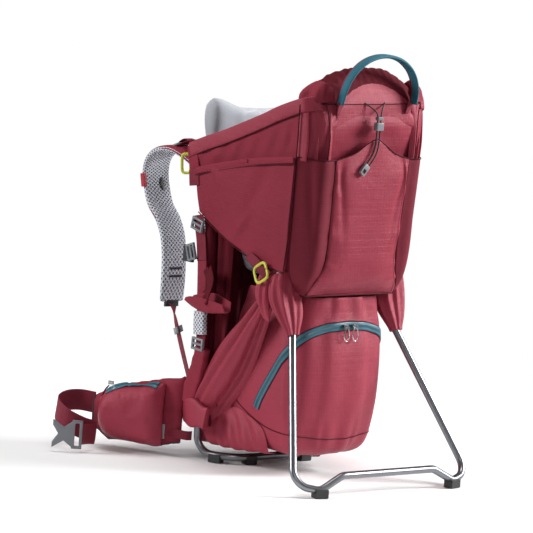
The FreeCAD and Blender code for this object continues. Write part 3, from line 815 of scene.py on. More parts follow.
# ---------------------------------------------------------------- cabin
class CARRIER_OT_side_panels(bpy.types.Operator):
    """Cloth sides of the cabin with their flat pockets and hems"""
    bl_idname = "carrier.side_panels"
    bl_label = "Side panels"

    def execute(self, context):
        rows = [at_side(-135.5, r) for r in (
            [(98, 433), (34, 402), (-17, 383), (-75, 367), (-138, 360)],
            [(112, 475), (40, 462), (-20, 455), (-85, 448), (-145, 447)],
            [(126, 520), (45, 532), (-20, 545), (-90, 562), (-149, 575)],
            [(136, 549), (50, 583), (-17, 609), (-97, 645), (-149, 664)])]
        panel = cloth("side_panel_left", rows, (40, 36), "side", ripple=lambda s, t: (
            0.0020 * ridge(t, 0.72, 0.05) * ridge(s, 0.2, 0.12) + 0.0025 * math.sin(s * 40) * ridge(t, 0.74,
            0.07)))
        both_sides(panel, "pack", ("side_panels",))
        pocket_rows = [at_side(x, r) for x, r in (
            (-137.4, [(97, 434), (34, 403), (-17, 384), (-75, 368), (-138, 361)]),
            (-140, [(103, 462), (38, 442), (-20, 430), (-80, 420), (-143, 415)]),
            (-142, [(106, 488), (40, 490), (-22, 490), (-88, 490), (-147, 492)]),
            (-141, [(108, 511), (45, 527), (-25, 543), (-90, 555), (-149, 563)]))]
        pocket = cloth("side_pocket_left", pocket_rows, (70, 60), "side", ripple=self.pocket_folds, levels=1)
        both_sides(pocket, "pack", ("side_pockets",))
        hem_line = at_side(-137.5, [(134, 538), (90, 555), (40, 573), (-17, 596), (-60, 614), (-97, 631),
            (-146, 649)])
        hem_line += points((-128, -164, 655), (-112, -173, 658))
        self.hem("cabin_hem_left", hem_line, 25, 5, "shell", [Vector((-1, 0, 0))] * 6 + [
            Vector((-1, -0.2, 0)), Vector((-0.7, -0.7, 0.2)), Vector((-0.4, -0.9, 0.3))])
        pocket_hem = at_side(-144.2, [(106, 504), (45, 520), (-25, 536), (-90, 548), (-149, 557)])
        self.hem("pocket_hem_left", pocket_hem, 11, 2.4, "side")
        for name, pairs, x in (
                ("cabin_seam_left", [(133, 524), (90, 542), (40, 560), (-17, 583), (-60, 601), (-97, 617),
                (-149, 637)],
                 -138.4),
                ("pocket_seam_left", [(105, 497), (45, 513), (-25, 529), (-90, 541), (-149, 550)], -144.6),
                ("front_edge_left", [(98, 433), (34, 402), (-17, 383), (-75, 367), (-138, 360)], -138.2),
                ("rear_edge_left", [(-149, 652), (-150, 561), (-146, 450), (-138, 360)], -139.5)):
            both_sides(piping(name, at_side(x, pairs), 0.0010), "pack")
        patch = strip("buckle_patch_left", at_side(-143.6, [(112, 505), (110, 490), (108, 478)]), 0.026,
            0.0016,
                      "webbing", ups=[Vector((-1, 0, 0))] * 3, steps=12)
        both_sides(patch, "pack")
        band = strip("front_band_left", at_side(-137.6, [(128, 546), (122, 522), (114, 498)]), 0.026, 0.003,
                     "side", ups=[Vector((-1, 0, 0))] * 3, steps=20)
        both_sides(band, "pack")
        tab = strip("pocket_tab_left", at_side(-146, [(-8, 536), (-32, 540)]), 0.006, 0.0012, "side",
                    ups=[Vector((-1, 0, 0))] * 2, steps=8)
        both_sides(tab, "pack")
        lining_rows = [at_side(-129.5, r) for r in (
            [(90, 440), (30, 408), (-17, 390), (-75, 374), (-120, 366)],
            [(104, 490), (40, 490), (-20, 490), (-85, 490), (-122, 490)],
            [(128, 544), (50, 578), (-17, 603), (-97, 638), (-130, 652)])]
        lining = cloth("cabin_lining_left", lining_rows, (30, 24), "lining", ripple=lambda s, t: (
            0.002 * math.sin(14 * s) * math.sin(math.pi * t)))
        both_sides(lining, "pack")
        return {"FINISHED"}

    def pocket_folds(self, s, t):
        belly = 0.0055 * math.sin(math.pi * min(1, s * 1.05)) * math.sin(math.pi * t * 0.8)
        valley = -0.0045 * ridge(s, 0.72 - 0.22 * (1 - t), 0.07) * ridge(t, 0.62, 0.35)
        crease = 0.0022 * ridge(s, 0.16 + 0.30 * (1 - t), 0.035) * ridge(t, 0.8, 0.25)
        pull = 0.0022 * ridge(s, 0.86 - 0.5 * (1 - t), 0.04) * ridge(t, 0.35, 0.25)
        return belly + valley + crease + pull + 0.0012 * bump_field(Vector((s * 3, t * 3, 0)), 1.0, 3.0)

    def hem(self, name, line, width, thick, finish_name, ups=None):
        band = strip(name, line, width * MM, thick * MM, finish_name,
            ups=ups or [Vector((-1, 0, 0))] * len(line),
                     steps=90, count=20, square=0.7)
        both_sides(rounder(band), "pack")


class CARRIER_OT_rear(bpy.types.Operator):
    """Rear wall, its big pocket and the slanting corner pockets"""
    bl_idname = "carrier.rear"
    bl_label = "Rear wall and pockets"

    def execute(self, context):
        self.wall()
        self.pocket()
        self.corners()
        self.gussets()
        return {"FINISHED"}

    def across(self, half_row, z):
        """A level row over the rear from its left half, given as pairs of X and Y."""
        left = [mm(x, y, z) for x, y in half_row]
        return left + [Vector((-p.x, p.y, p.z)) for p in reversed(left) if p.x < -MM]

    def wall(self):
        rows = [self.across(*row) for row in (
            ([(-108, -124), (-104, -148), (-92, -157), (-50, -158), (0, -158)], 322),
            ([(-122, -124), (-119, -149), (-100, -160), (-50, -160), (0, -160)], 350),
            ([(-131, -128), (-129, -150), (-104, -161), (-50, -163), (0, -163)], 400),
            ([(-133, -130), (-132, -152), (-110, -168), (-50, -170), (0, -170)], 520),
            ([(-133, -134), (-131, -158), (-108, -177), (-50, -182), (0, -183)], 600),
            ([(-131, -140), (-126, -164), (-104, -176), (-50, -180), (0, -180)], 657))]
        wall = cloth("rear_wall", rows, (72, 60), "shell", thick=0.002, ripple=lambda s, t: (
            0.003 * ridge(t, 0.86, 0.09) * math.sin(math.pi * s)
            - 0.003 * ridge(t, 0.80, 0.05) * (ridge(s, 0.42, 0.05) + ridge(s, 0.58, 0.05))
            + 0.0014 * bump_field(Vector((s * 6, t * 4, 0)), 1.0, 1.0)))
        settle(wall, "pack", "rear_panel")
        seam = self.across([(-128, -163), (-104, -179), (-50, -183.5), (0, -183.5)], 656)
        settle(piping("head_seam", seam, 0.0010, steps=80), "pack")

    def pocket(self):
        levels = ((324, 100, 158, 155), (338, 98, 171, 162), (356, 90, 181, 170), (385, 80, 187, 176),
                  (430, 80, 190, 180), (490, 82, 193, 184), (535, 83, 195, 187))
        rows = []
        for z, half, middle, edge in levels:
            rows.append(self.across([(-half, -edge), (-half + 7, -edge - 5), (-half * 0.55, -middle),
                (0, -middle)], z))
        rim = [(-84, -189, 560), (-79, -191, 562), (-46, -193, 572), (-20, -194, 588), (0, -195, 597)]
        left = [mm(*p) for p in rim]
        rows.append(left + [Vector((-p.x, p.y, p.z)) for p in reversed(left[:-1])])
        pocket = cloth("rear_pocket_cloth", rows, (90, 96), "shell", thick=0.0022, ripple=self.pocket_folds)
        settle(pocket, "pack", "rear_pocket")
        rim_line = rows[-1]
        settle(piping("rear_pocket_rim", [p + Vector((0, -0.0006, 0)) for p in rim_line], 0.0009, steps=90),
            "pack")
        for side_name, side in SIDES:
            edge_line = [mm(side * half, -edge - 1.2, z) for z, half, _,
                edge in levels] + [mm(side * 84, -190.5, 560)]
            settle(piping("rear_pocket_seam_" + side_name, edge_line, 0.0010, steps=80), "pack")
        foot = self.across([(-106, -148), (-98, -158), (-50, -160), (0, -160)], 322.5)
        settle(piping("rear_foot_seam", foot, 0.0011, steps=80), "pack")

    def pocket_folds(self, s, t):
        drag = 0.0
        for height, depth in ((0.20, 0.0018), (0.34, 0.0016), (0.52, 0.0018), (0.7, 0.0014)):
            near = ridge(s, 0.1, 0.16) + ridge(s, 0.9, 0.16)
            drag += depth * near * ridge(t, height + 0.16 * abs(s - 0.5), 0.028)
        slope = -0.0030 * (ridge(s, 0.16 + 0.30 * (1 - t), 0.035) + ridge(s, 0.84 - 0.30 * (1 - t), 0.035)) \
            * ridge(t, 0.80, 0.2)
        panel = 0.0022 * (ridge(s, 0.84, 0.012))
        return drag + slope + panel * 0.6 + 0.0022 * bump_field(Vector((s * 4, t * 5, 0)), 1.0, 5.0)

    def corners(self):
        rows = [[mm(*p) for p in row] for row in (
            [(-110, -142, 328), (-106, -154, 326), (-101, -158.5, 326)],
            [(-122, -143, 345), (-110, -163, 345), (-96, -168, 345)],
            [(-132, -146, 370), (-108, -172, 370), (-85, -176, 370)],
            [(-135, -147, 410), (-108, -178, 410), (-80.5, -180, 410)],
            [(-137, -149, 480), (-110, -182, 480), (-82, -185, 480)],
            [(-138.5, -150, 562), (-112, -187, 560), (-84.5, -190, 561)])]
        # The corner pockets take the side cloth darkened as painted shade.
        corner = cloth("corner_pocket_left", rows, (30, 60), "corner", thick=0.002, ripple=lambda s, t: (
            0.0024 * math.sin(math.pi * s) * math.sin(math.pi * t)
            - 0.003 * ridge(s, 0.25 + 0.5 * (1 - t), 0.09) * ridge(t, 0.85, 0.18)))
        both_sides(corner, "pack", ("corner_pockets",))
        rim = [p + Vector((0, -0.0006, 0.0004)) for p in rows[-1]]
        both_sides(piping("corner_rim_left", rim, 0.0009, steps=30), "pack")

    def gussets(self):
        rows = []
        for z, out in ((556, 1.0), (585, 1.3), (615, 1.1), (640, 0.7), (658, 0.1)):
            rows.append([mm(x, y - 7 * out * w, z) for x, y, w in (
                (-137, -148, 0), (-131, -158, 1), (-124, -164, -0.4), (-117, -168, 0.9), (-108, -174, -0.2),
                (-98, -178, 0.8), (-88, -181, 0))])
        gusset = cloth("gusset_left", rows, (48, 30), "shell", thick=0.0014)
        both_sides(gusset, "pack")
        fold = [mm(-100, -186, 560), mm(-99, -187, 600), mm(-103, -183, 640), mm(-108, -180, 656)]
        rows = [[mm(*p) for p in row] for row in (
            [(-136, -140, 650), (-130, -160, 656), (-112, -175, 658), (-88, -181, 658)],
            [(-130, -134, 668), (-122, -156, 676), (-106, -172, 678), (-90, -178, 674)],
            [(-108, -128, 682), (-104, -150, 692), (-98, -166, 690), (-90, -172, 684)])]
        cheek = cloth("headrest_cheek_left", rows, (28, 20), "side", thick=0.0016, ripple=lambda s, t: (
            0.003 * math.sin(s * 15) * math.sin(math.pi * t) + 0.002 * math.sin(math.pi * s)))
        both_sides(cheek, "pack")
        both_sides(piping("gusset_seam_left", fold, 0.0009, steps=30), "pack")


class CARRIER_OT_headrest(bpy.types.Operator):
    """Domed headrest, the carrying handle and its tabs"""
    bl_idname = "carrier.headrest"
    bl_label = "Headrest and handle"

    def execute(self, context):
        cushion = stuffed("headrest_cushion", merged_copy("headrest"), "shell", 0.007, shrink=0.002)
        front, top = -0.148, 0.690      # metres: where the lining starts, and the crown of the shell's edge
        bow = 5.2                       # how fast that edge drops away from the middle, per metre
        quilt(cushion, lambda p: 0.0013 * math.sin(p.x * 410 + 3 * p.y) * ridge(p.z, 0.708, 0.016)
              + 0.005 * ridge(p.x, 0.0, 0.07) * ridge(p.z, 0.716, 0.02))
        for name in ("shade", "lining"):
            cushion.data.materials.append(finish(name))
        shell_edge = [Plane(Vector((x, 0, top - bow * x * x)), Vector((2 * bow * x, 0, 1)).normalized())
                      for x in (-0.06, -0.036, -0.012, 0.012, 0.036, 0.06)]
        bm = bmesh.new()
        bm.from_mesh(cushion.data)
        for plane in shell_edge + [Plane(Vector((0, front, 0)), Vector((0, 1, 0)))]:
            bmesh.ops.bisect_plane(bm, geom=[*bm.verts, *bm.edges, *bm.faces], dist=1e-6, plane_co=plane.spot,
                                   plane_no=plane.normal)
        bm.normal_update()
        for face in bm.faces:
            centre = face.calc_center_median()
            if face.normal.y > 0.35 and centre.y > front:
                face.material_index = 2
            elif centre.y > front or any((centre - e.spot).dot(e.normal) > 0 for e in shell_edge):
                face.material_index = 1
        bm.to_mesh(cushion.data)
        bm.free()
        rounder(cushion)
        settle(cushion, "pack", "headrest")
        arch = points((-86, -190, 656), (-81, -190, 676), (-71, -190, 697), (-56, -190, 715),
            (-34, -190, 730),
                      (-8, -190, 738), (18, -190, 738.5), (44, -190, 732), (65, -190, 718), (78, -190, 700),
                      (84, -190, 678), (82, -190, 656))
        handle = strip("carry_handle", arch, 0.019, 0.0045, ("teal", "webbing"), across=Vector((0, 1, 0)),
            steps=110,
                       count=20, square=0.6, swell=lambda t: (1.0 + 0.1 * math.sin(math.pi * t),
                       1.0 + math.sin(math.pi * t) ** 2 * 0.5),
                       faces=lambda u: 1 if math.cos(2 * math.pi * u) > 0.25 else 0)
        settle(handle, "haul_handle", "haul_handle")
        for side_name, side in SIDES:
            anchor = points((-80, -187, 662), (-79, -184, 650), (-78, -182, 640),
                side=side if side < 0 else -1)
            if side > 0:
                anchor = [Vector((-p.x, p.y, p.z)) for p in anchor]
            tab = strip("handle_tab_" + side_name, anchor, 0.022, 0.003, "webbing",
                across=Vector((0.9, 0.4, 0)), steps=12)
            settle(tab, "pack")
        return {"FINISHED"}


class CARRIER_OT_padding(bpy.types.Operator):
    """Seat, chin pad, harness and the padding that the wearer leans on"""
    bl_idname = "carrier.padding"
    bl_label = "Seat and padding"

    def execute(self, context):
        chin = stuffed("chin_roll", merged_copy("chin_pad"), "lining", 0.011, shrink=0.001)
        quilt(chin, lambda p: (0.008 * ridge(abs(p.x), 0.110, 0.030) * ridge(p.z, 0.605, 0.045)
                               + 0.0025 * bump_field(p, 14.0, 2.0)))
        rounder(chin)
        settle(chin, "pack", "chin_pad")
        for node, body, finish_name, cap, fill in (
                ("seat_back_pad", "pack", "lining", 0.007, 0.7), ("seat_pad", "seat", "lining", 0.007, 0.7),
                ("lumbar_pad", "pack", "mesh_plain", 0.007, 0.8)):
            pad = stuffed(node + "_cushion", merged_copy(node), finish_name, cap, shrink=0.0015)
            if node == "lumbar_pad":
                quilt(pad, lambda p: -0.004 * ridge(p.x, 0.0, 0.007) - 0.003 * ridge(p.z, 0.1, 0.005))
            rounder(pad)
            settle(pad, body, node)
        for side_name, side in SIDES:
            belt = strip("harness_belt_" + side_name,
                points((-34, -146, 610), (-34, -130, 460), (-34, -119, 388),
                         (-34, -100, 372), (-34, -52, 366), side=-side), 0.028, 0.003, "webbing",
                         across=Vector((1, 0, 0)))
            settle(belt, "seat", "harness_straps")
        self.back_panel()
        # Sleeves over the uprights in the dark finish: painted shade inside the cabin.
        for x, name in ((-126, "left"), (126, "right")):
            post = [mm(x, 72, 62), mm(x, 72, 200), mm(x, 72, 330), mm(x, 76, 412), mm(x, 96, 470),
                mm(x, 119, 534)]
            settle(rounder(strip("post_sleeve_" + name, post, 0.021, 0.021, "shade",
                across=Vector((1, 0, 0)), steps=60,
                                 count=16, square=1.0)), "pack")
        # A dark sheet across the leg opening that hides the cross bar: painted shade inside the cabin.
        rows = [[mm(x, 62 - 9 * abs(x) / 120 + 4 * math.sin(x / 9), z) for x in range(-120, 121, 30)]
                for z in (60, 150, 250, 350, 430)]
        curtain = cloth("shade_curtain", rows, (80, 40), "shade", ripple=lambda s,
            t: 0.003 * math.sin(s * 70))
        settle(curtain, "pack")
        # Dark sheets on the inner sides of the leg opening: painted shade inside the cabin.
        rows = [at_side(x, r) for x, r in ((-116, [(72, 100), (52, 100), (34, 96)]),
            (-119, [(72, 260), (48, 260), (20, 262)]),
                                           (-119, [(76, 420), (50, 410), (22, 398)]))]
        cheek = cloth("inner_side_left", rows, (20, 30), "shade", ripple=lambda s,
            t: 0.003 * math.sin(s * 14 + t * 3))
        for piece in both_sides(cheek, "pack"):
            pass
        return {"FINISHED"}

    def back_panel(self):
        path = points((0, 94, 58), (0, 90.5, 130), (0, 88.5, 200), (0, 90, 290), (0, 94, 380), (0, 105, 440),
                      (0, 126, 540))
        # The face towards the cabin takes the dark finish as painted shade; the other face is side cloth.
        panel = strip("back_board", path, 0.222, 0.012, ("shade", "side"), across=Vector((1, 0, 0)), count=40,
                      square=0.25, steps=70, faces=lambda u: 0 if u < 0.5 else 1)
        settle(panel, "pack", "back_panel")
        for side_name, side in SIDES:
            line = [p + Vector((side * 0.084, 0.0095, 0)) for p in path[1:]]
            pad = strip("back_mesh_" + side_name, line, 0.066, 0.016, "mesh", across=Vector((1, 0, 0)),
                count=20,
                        square=0.6, steps=70, swell=lambda t: (min(1, 0.6 + 3 * min(t, 1 - t)), 1))
            settle(rounder(pad), "pack")


# ---------------------------------------------------------------- straps
class CARRIER_OT_straps(bpy.types.Operator):
    """Padded shoulder straps with their mesh, bindings and webbing"""
    bl_idname = "carrier.straps"
    bl_label = "Shoulder straps"

    def execute(self, context):
        path = [(137, 487), (170, 506), (205, 519), (238, 525), (270, 519), (292, 502), (299, 478),
            (293, 450),
                (279, 420), (256, 398), (240, 372), (232, 340), (229, 300), (229, 252)]
        line = at_side(-75, path)
        strap = strip("shoulder_pad_left", line, 0.052, 0.012, ("side", "mesh"), across=Vector((1, 0, 0)),
            steps=130,
                      count=28, square=0.55, faces=lambda u: 0 if 0.04 < u < 0.46 else 1,
                      swell=lambda t: (1.0 + 0.10 * ridge(t, 0.45, 0.3), 1.0 - 0.45 * ridge(t, 1.0, 0.03)))
        pads = both_sides(rounder(strap), "yoke", ("shoulder_strap_left",),
            twin_nodes=("shoulder_strap_right",))
        for x in (-48.8, -101.2):
            edge = piping("strap_binding_left" + str(int(-x)), at_side(x, path[:10]), 0.0016, "webbing",
                steps=90)
            both_sides(edge, "yoke")
        for t0, number in ((0.90, 1), (0.925, 2)):
            spot, ahead = along(line, t0), along(line, t0 + 0.01) - along(line, t0)
            out = Vector((1, 0, 0)).cross(ahead).normalized()
            ends = [spot - out * 0.0066 + Vector((x, 0, 0)) for x in (-0.014, 0.0, 0.014)]
            bar = strip("strap_stitch_left%d" % number, ends, 0.0042, 0.0012, "dark", ups=[-out] * 3,
                steps=16)
            both_sides(bar, "yoke")
        window = strip("strap_window_left", [along(line, t) - (Vector((1, 0, 0)).cross(
            along(line, t + 0.01) - along(line, t))).normalized() * 0.0068 + Vector((0.008, 0, 0))
            for t in (0.50, 0.53, 0.56)],
            0.013, 0.0016, "dark", ups=[Vector((0, -1, 0.2))] * 3, steps=16, square=1.0,
            swell=lambda t: (0.35 + 0.65 * math.sin(math.pi * t), 1))
        both_sides(window, "yoke")
        tip = strip("strap_tip_left", at_side(-75, [(229, 256), (229, 249), (228.5, 244)]), 0.030, 0.008,
            "dark",
                    across=Vector((1, 0, 0)), steps=10)
        both_sides(tip, "yoke")
        lifter = strip("load_lifter_left", at_side(-75,
            [(137, 550), (172, 549), (205, 543), (228, 534), (248, 524)]),
                       0.020, 0.002, "webbing", across=Vector((1, 0, 0)), steps=50)
        both_span(lifter, mm(-75, 137, 550), mm(-75, 215, 540), ("load_lifters",))
        tail = strip("lifter_tail_left", at_side(-75, [(240, 531), (216, 545), (190, 538), (172, 528)]),
            0.018, 0.0018,
                     "webbing", across=Vector((1, 0, 0)), steps=40)
        both_sides(tail, "yoke")
        buckle = self.ladder_lock("lifter_buckle_left", along(at_side(-75, [(205, 543), (248, 524)]), 0.65),
                                  Vector((0, 0.92, -0.38)), 0.026, 0.016)
        both_sides(buckle, "yoke")
        low = strip("low_webbing_left", [mm(-75, 228, 262), mm(-75, 226, 246), mm(-87, 193, 211),
            mm(-104, 144, 158),
                                         mm(-118, 100, 110)], 0.024, 0.002, "webbing", steps=60, ups=[
                                             Vector(v) for v in ((0, 1, 0.1), (0, 1, 0.5), (-0.35, 0.8, 0.5),
                                                                 (-0.6, 0.7, 0.3), (-0.7, 0.7, 0.2))])
        both_span(low, mm(-75, 228, 262), mm(-91, 180, 197), ("strap_webbings",))
        return {"FINISHED"}

    def ladder_lock(self, name, centre, ahead, width, length):
        """A wire-thin ladder lock: three bars between two sides."""
        bm = bmesh.new()
        side = Vector((1, 0, 0))
        up = side.cross(ahead).normalized()
        turn = Matrix((side, ahead.normalized(), up)).transposed().to_4x4()
        for y in (-length / 2, 0, length / 2):
            place = Matrix.Translation(centre) @ turn @ Matrix.Translation((0, y, 0.002))
            bmesh.ops.create_cone(bm, cap_ends=True, segments=10, radius1=0.0019, radius2=0.0019, depth=width,
                                  matrix=place @ Matrix.Rotation(math.pi / 2, 4, "Y"))
        for x in (-width / 2, width / 2):
            place = Matrix.Translation(centre) @ turn @ Matrix.Translation((x, 0, 0.002))
            bmesh.ops.create_cone(bm, cap_ends=True, segments=10, radius1=0.0022, radius2=0.0022,
                                  depth=length + 0.004, matrix=place @ Matrix.Rotation(math.pi / 2, 4, "X"))
        return new_piece(name, bm, "pale")


# ---------------------------------------------------------------- lower compartment
class CARRIER_OT_lower_bag(bpy.types.Operator):
    """Zipped lower bag with its seams and tape"""
    bl_idname = "carrier.lower_bag"
    bl_label = "Lower bag"

    def execute(self, context):
        levels = ((37, 52, -112, 0, 26), (39, 74, -132, 2, 38), (56, 90, -150, 12, 46),
            (100, 98, -159, 20, 48),
                  (150, 101, -166, 20, 50), (215, 101, -167, 18, 50), (262, 98, -162, 16, 48),
                  (290, 92, -158, 10, 46),
                  (318, 88, -156, 4, 44))
        rows = [self.ring(*level) for level in levels]
        bag = cloth("bag_shell", rows, (120, 84), "shell", thick=0.002, ripple=self.sag)
        settle(bag, "pack", "lower_bag")
        tree = surface_of(bag)
        half_zip = [(-101, -52, 112), (-101, -62, 132), (-101, -91, 178), (-100, -120, 219), (-88, -148, 251),
                    (-60, -163, 264), (-20, -168, 268)]
        line = points(*half_zip) + [Vector((-p.x, p.y, p.z)) for p in reversed(points(*half_zip))]
        spots, normals = lay(tree, line, 0.0012, 60, self.to_core)
        tape = strip("bag_zip_tape", spots, 0.0135, 0.0022, "zip", ups=normals, steps=200, count=12)
        settle(tape, "pack", "bag_zip")
        for name, shift, finish_name in (("zip_seam_upper", 0.0078, "piping"),
            ("zip_seam_lower", -0.0078, "piping")):
            beside = []
            for i, (spot, normal) in enumerate(zip(spots, normals)):
                ahead = (spots[min(i + 1, len(spots) - 1)] - spots[max(i - 1, 0)]).normalized()
                beside.append(spot + normal.cross(ahead) * shift)
            laid, _ = lay(tree, beside, 0.0004, 60, self.to_core)
            settle(piping(name, laid, 0.0008, finish_name, steps=150), "pack")
        half_seam = [(-101, 16, 128), (-101, -7, 110), (-101, -49, 90), (-101, -95, 79), (-94, -145, 75),
                     (-60, -162, 71), (0, -166, 69)]
        seam = points(*half_seam) + [Vector((-p.x, p.y, p.z)) for p in reversed(points(*half_seam[:-1]))]
        laid, _ = lay(tree, seam, 0.0004, 70, self.to_core)
        settle(piping("bag_low_seam", laid, 0.0009, steps=160), "pack")
        return {"FINISHED"}

    def to_core(self, place):
        """Level, from a place on the bag's outside towards its middle."""
        return Vector((-place.x, min(place.y + 0.115, 0.0) * -1, 0))

    def ring(self, z, half, rear, front, corner):
        left = [(-half, front), (-half - 1, (front + rear + corner) / 2), (-half, rear + corner),
                (-half + corner * 0.27, rear + corner * 0.33), (-half + corner, rear + 6),
                (-half * 0.3, rear + 1)]
        row = [mm(x, y, z) for x, y in left] + [mm(0, rear, z)]
        return row + [Vector((-p.x, p.y, p.z)) for p in reversed(row[:-1])]

    def sag(self, s, t):
        upright_fold = 0.0014 * math.sin(s * 46) * ridge(t, 0.95, 0.12)
        lower_fold = 0.0010 * math.sin(s * 60) * ridge(t, 0.3, 0.08)
        slant = 0.0026 * (ridge(s, 0.22 - 0.10 * t, 0.018) + ridge(s, 0.78 + 0.10 * t,
            0.018)) * math.sin(math.pi * t)
        return upright_fold + lower_fold + slant + 0.0022 * bump_field(Vector((s * 7, t * 3, 0)), 1.0, 9.0)


class CARRIER_OT_drapes(bpy.types.Operator):
    """Side drapes below the cabin, the aprons beside the bag and the sleeves over the hinges"""
    bl_idname = "carrier.drapes"
    bl_label = "Drapes and hinge sleeves"

    def execute(self, context):
        rows = [[mm(*p) for p in row] for row in (
            [(-102, 44, 62), (-102, 18, 98), (-102, -12, 132), (-103, -36, 172), (-106, -58, 215),
            (-116, -84, 262),
             (-122, -100, 300), (-118, -106, 334)],
            [(-116, 58, 58), (-118, 32, 100), (-120, 2, 142), (-122, -24, 185), (-126, -50, 228),
            (-130, -78, 272),
             (-130, -97, 308), (-120, -102, 338)],
            [(-132, 70, 62), (-136, 46, 108), (-139, 16, 156), (-140, -12, 198), (-140, -42, 240),
            (-137, -72, 282),
             (-132, -94, 314), (-120, -98, 340)],
            [(-136, 80, 80), (-139, 56, 126), (-140, 28, 172), (-140, 0, 212), (-139, -30, 250),
            (-136, -62, 290),
             (-130, -90, 320), (-118, -94, 342)],
            [(-131, 86, 100), (-133, 62, 150), (-134, 38, 190), (-134, 8, 228), (-132, -24, 263),
            (-128, -56, 298),
             (-124, -84, 326), (-116, -90, 344)])]
        drape = cloth("side_drape_left", rows, (90, 56), "shell", thick=0.0018, ripple=self.long_folds)
        for piece in both_sides(drape, "pack", ("side_wings",)):
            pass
        apron_rows = [[mm(*p) for p in row] for row in (
            [(-96, 70, 30), (-94, 30, 28), (-88, -20, 29), (-74, -80, 34)],
            [(-114, 76, 33), (-109, 30, 31), (-101, -20, 32), (-90, -80, 37)],
            [(-122, 78, 46), (-114, 34, 46), (-105, -18, 50), (-98, -80, 56)],
            [(-124, 78, 60), (-113, 36, 68), (-104, -14, 78), (-101, -70, 78)],
            [(-118, 74, 80), (-106, 34, 92), (-102, 0, 104), (-101, -46, 90)])]
        apron = cloth("side_apron_left", apron_rows, (50, 30), "shell", thick=0.0018, ripple=lambda s, t: (
            0.0022 * math.sin(s * 34 + t * 4) * math.sin(math.pi * t)))
        for piece in both_sides(apron, "pack"):
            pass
        self.sleeve()
        self.hinge_flap()
        return {"FINISHED"}

    def long_folds(self, s, t):
        depth = sizes().fold * (0.35 + 0.65 * math.sin(math.pi * s))
        drift = t + 0.10 * math.sin(s * 3.4)
        waves = math.sin(drift * 17) * 0.5 + math.sin(drift * 31 + 1.4 + s * 2) * 0.28
        gather = 0.0016 * math.sin(t * 60) * (ridge(s, 1.0, 0.12) + 0.7 * ridge(s, 0.0, 0.10))
        return depth * waves * (1 - 0.6 * ridge(t, 0,
            0.12)) + gather + 0.002 * bump_field(Vector((s * 5, t * 3, 0)), 1.0, 2.0)

    def sleeve(self):
        """A gathered sleeve from the corner of the cabin down to the top of the stand's leg."""
        rings = ((mm(-118, -118, 356), 24, 21), (mm(-119, -118, 336), 28, 26), (mm(-118, -124, 312), 28, 25),
                 (mm(-117, -134, 292), 25, 20), (mm(-117.5, -143, 275), 19, 15),
                 (mm(-118, -149, 262), 13, 11),
                 (mm(-118.6, -152, 254), 10.5, 9.5))
        ahead = (rings[-1][0] - rings[1][0]).normalized()
        side = Vector((-1, 0, 0))
        out = ahead.cross(side).normalized()
        count = 64
        rows = []
        for level, (centre, wide, deep) in enumerate(rings):
            row = []
            for i in range(count + 1):
                a = 2 * math.pi * i / count
                fine = 0.11 * math.sin(9 * a + level * 0.3) * (0.5 + 0.5 * (level > 1))
                pleat = 1 + fine + 0.10 * math.sin(3 * a)
                row.append(centre + side * (math.cos(a) * wide * pleat * MM)
                           + out * (-math.sin(a) * deep * pleat * MM))
            rows.append(row)
        rows.reverse()
        sleeve = cloth("hinge_sleeve_left", rows, (count, 40), "shell", thick=0.0016)
        baked(sleeve)
        bm = bmesh.new()
        bm.from_mesh(sleeve.data)
        bmesh.ops.remove_doubles(bm, verts=bm.verts, dist=5e-5)
        bmesh.ops.recalc_face_normals(bm, faces=bm.faces)
        bm.to_mesh(sleeve.data)
        bm.free()
        twin = right_twin(sleeve, "hinge_sleeve_right")
        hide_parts("hinge_covers")
        for piece, side_sign in ((sleeve, -1), (twin, 1)):
            mm(side_sign * 118, -124, 308)
            mm(side_sign * 118, -149, 262)
            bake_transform(piece)

    def hinge_flap(self):
        """The cloth lobe in front of the sleeve."""
        rows = [[mm(*p) for p in row] for row in (
            [(-132, -78, 288), (-137, -92, 276), (-136, -108, 272)],
            [(-138, -72, 312), (-145, -90, 306), (-140, -108, 300)],
            [(-136, -72, 340), (-143, -90, 338), (-138, -108, 334)],
            [(-131, -78, 366), (-134, -94, 368), (-131, -112, 364)])]
        flap = cloth("hinge_lobe_left", rows, (20, 28), "shell", thick=0.003, ripple=lambda s, t: (
            0.0028 * math.sin(s * 16 + t * 3) * math.sin(math.pi * t)))
        both_sides(flap, "pack")


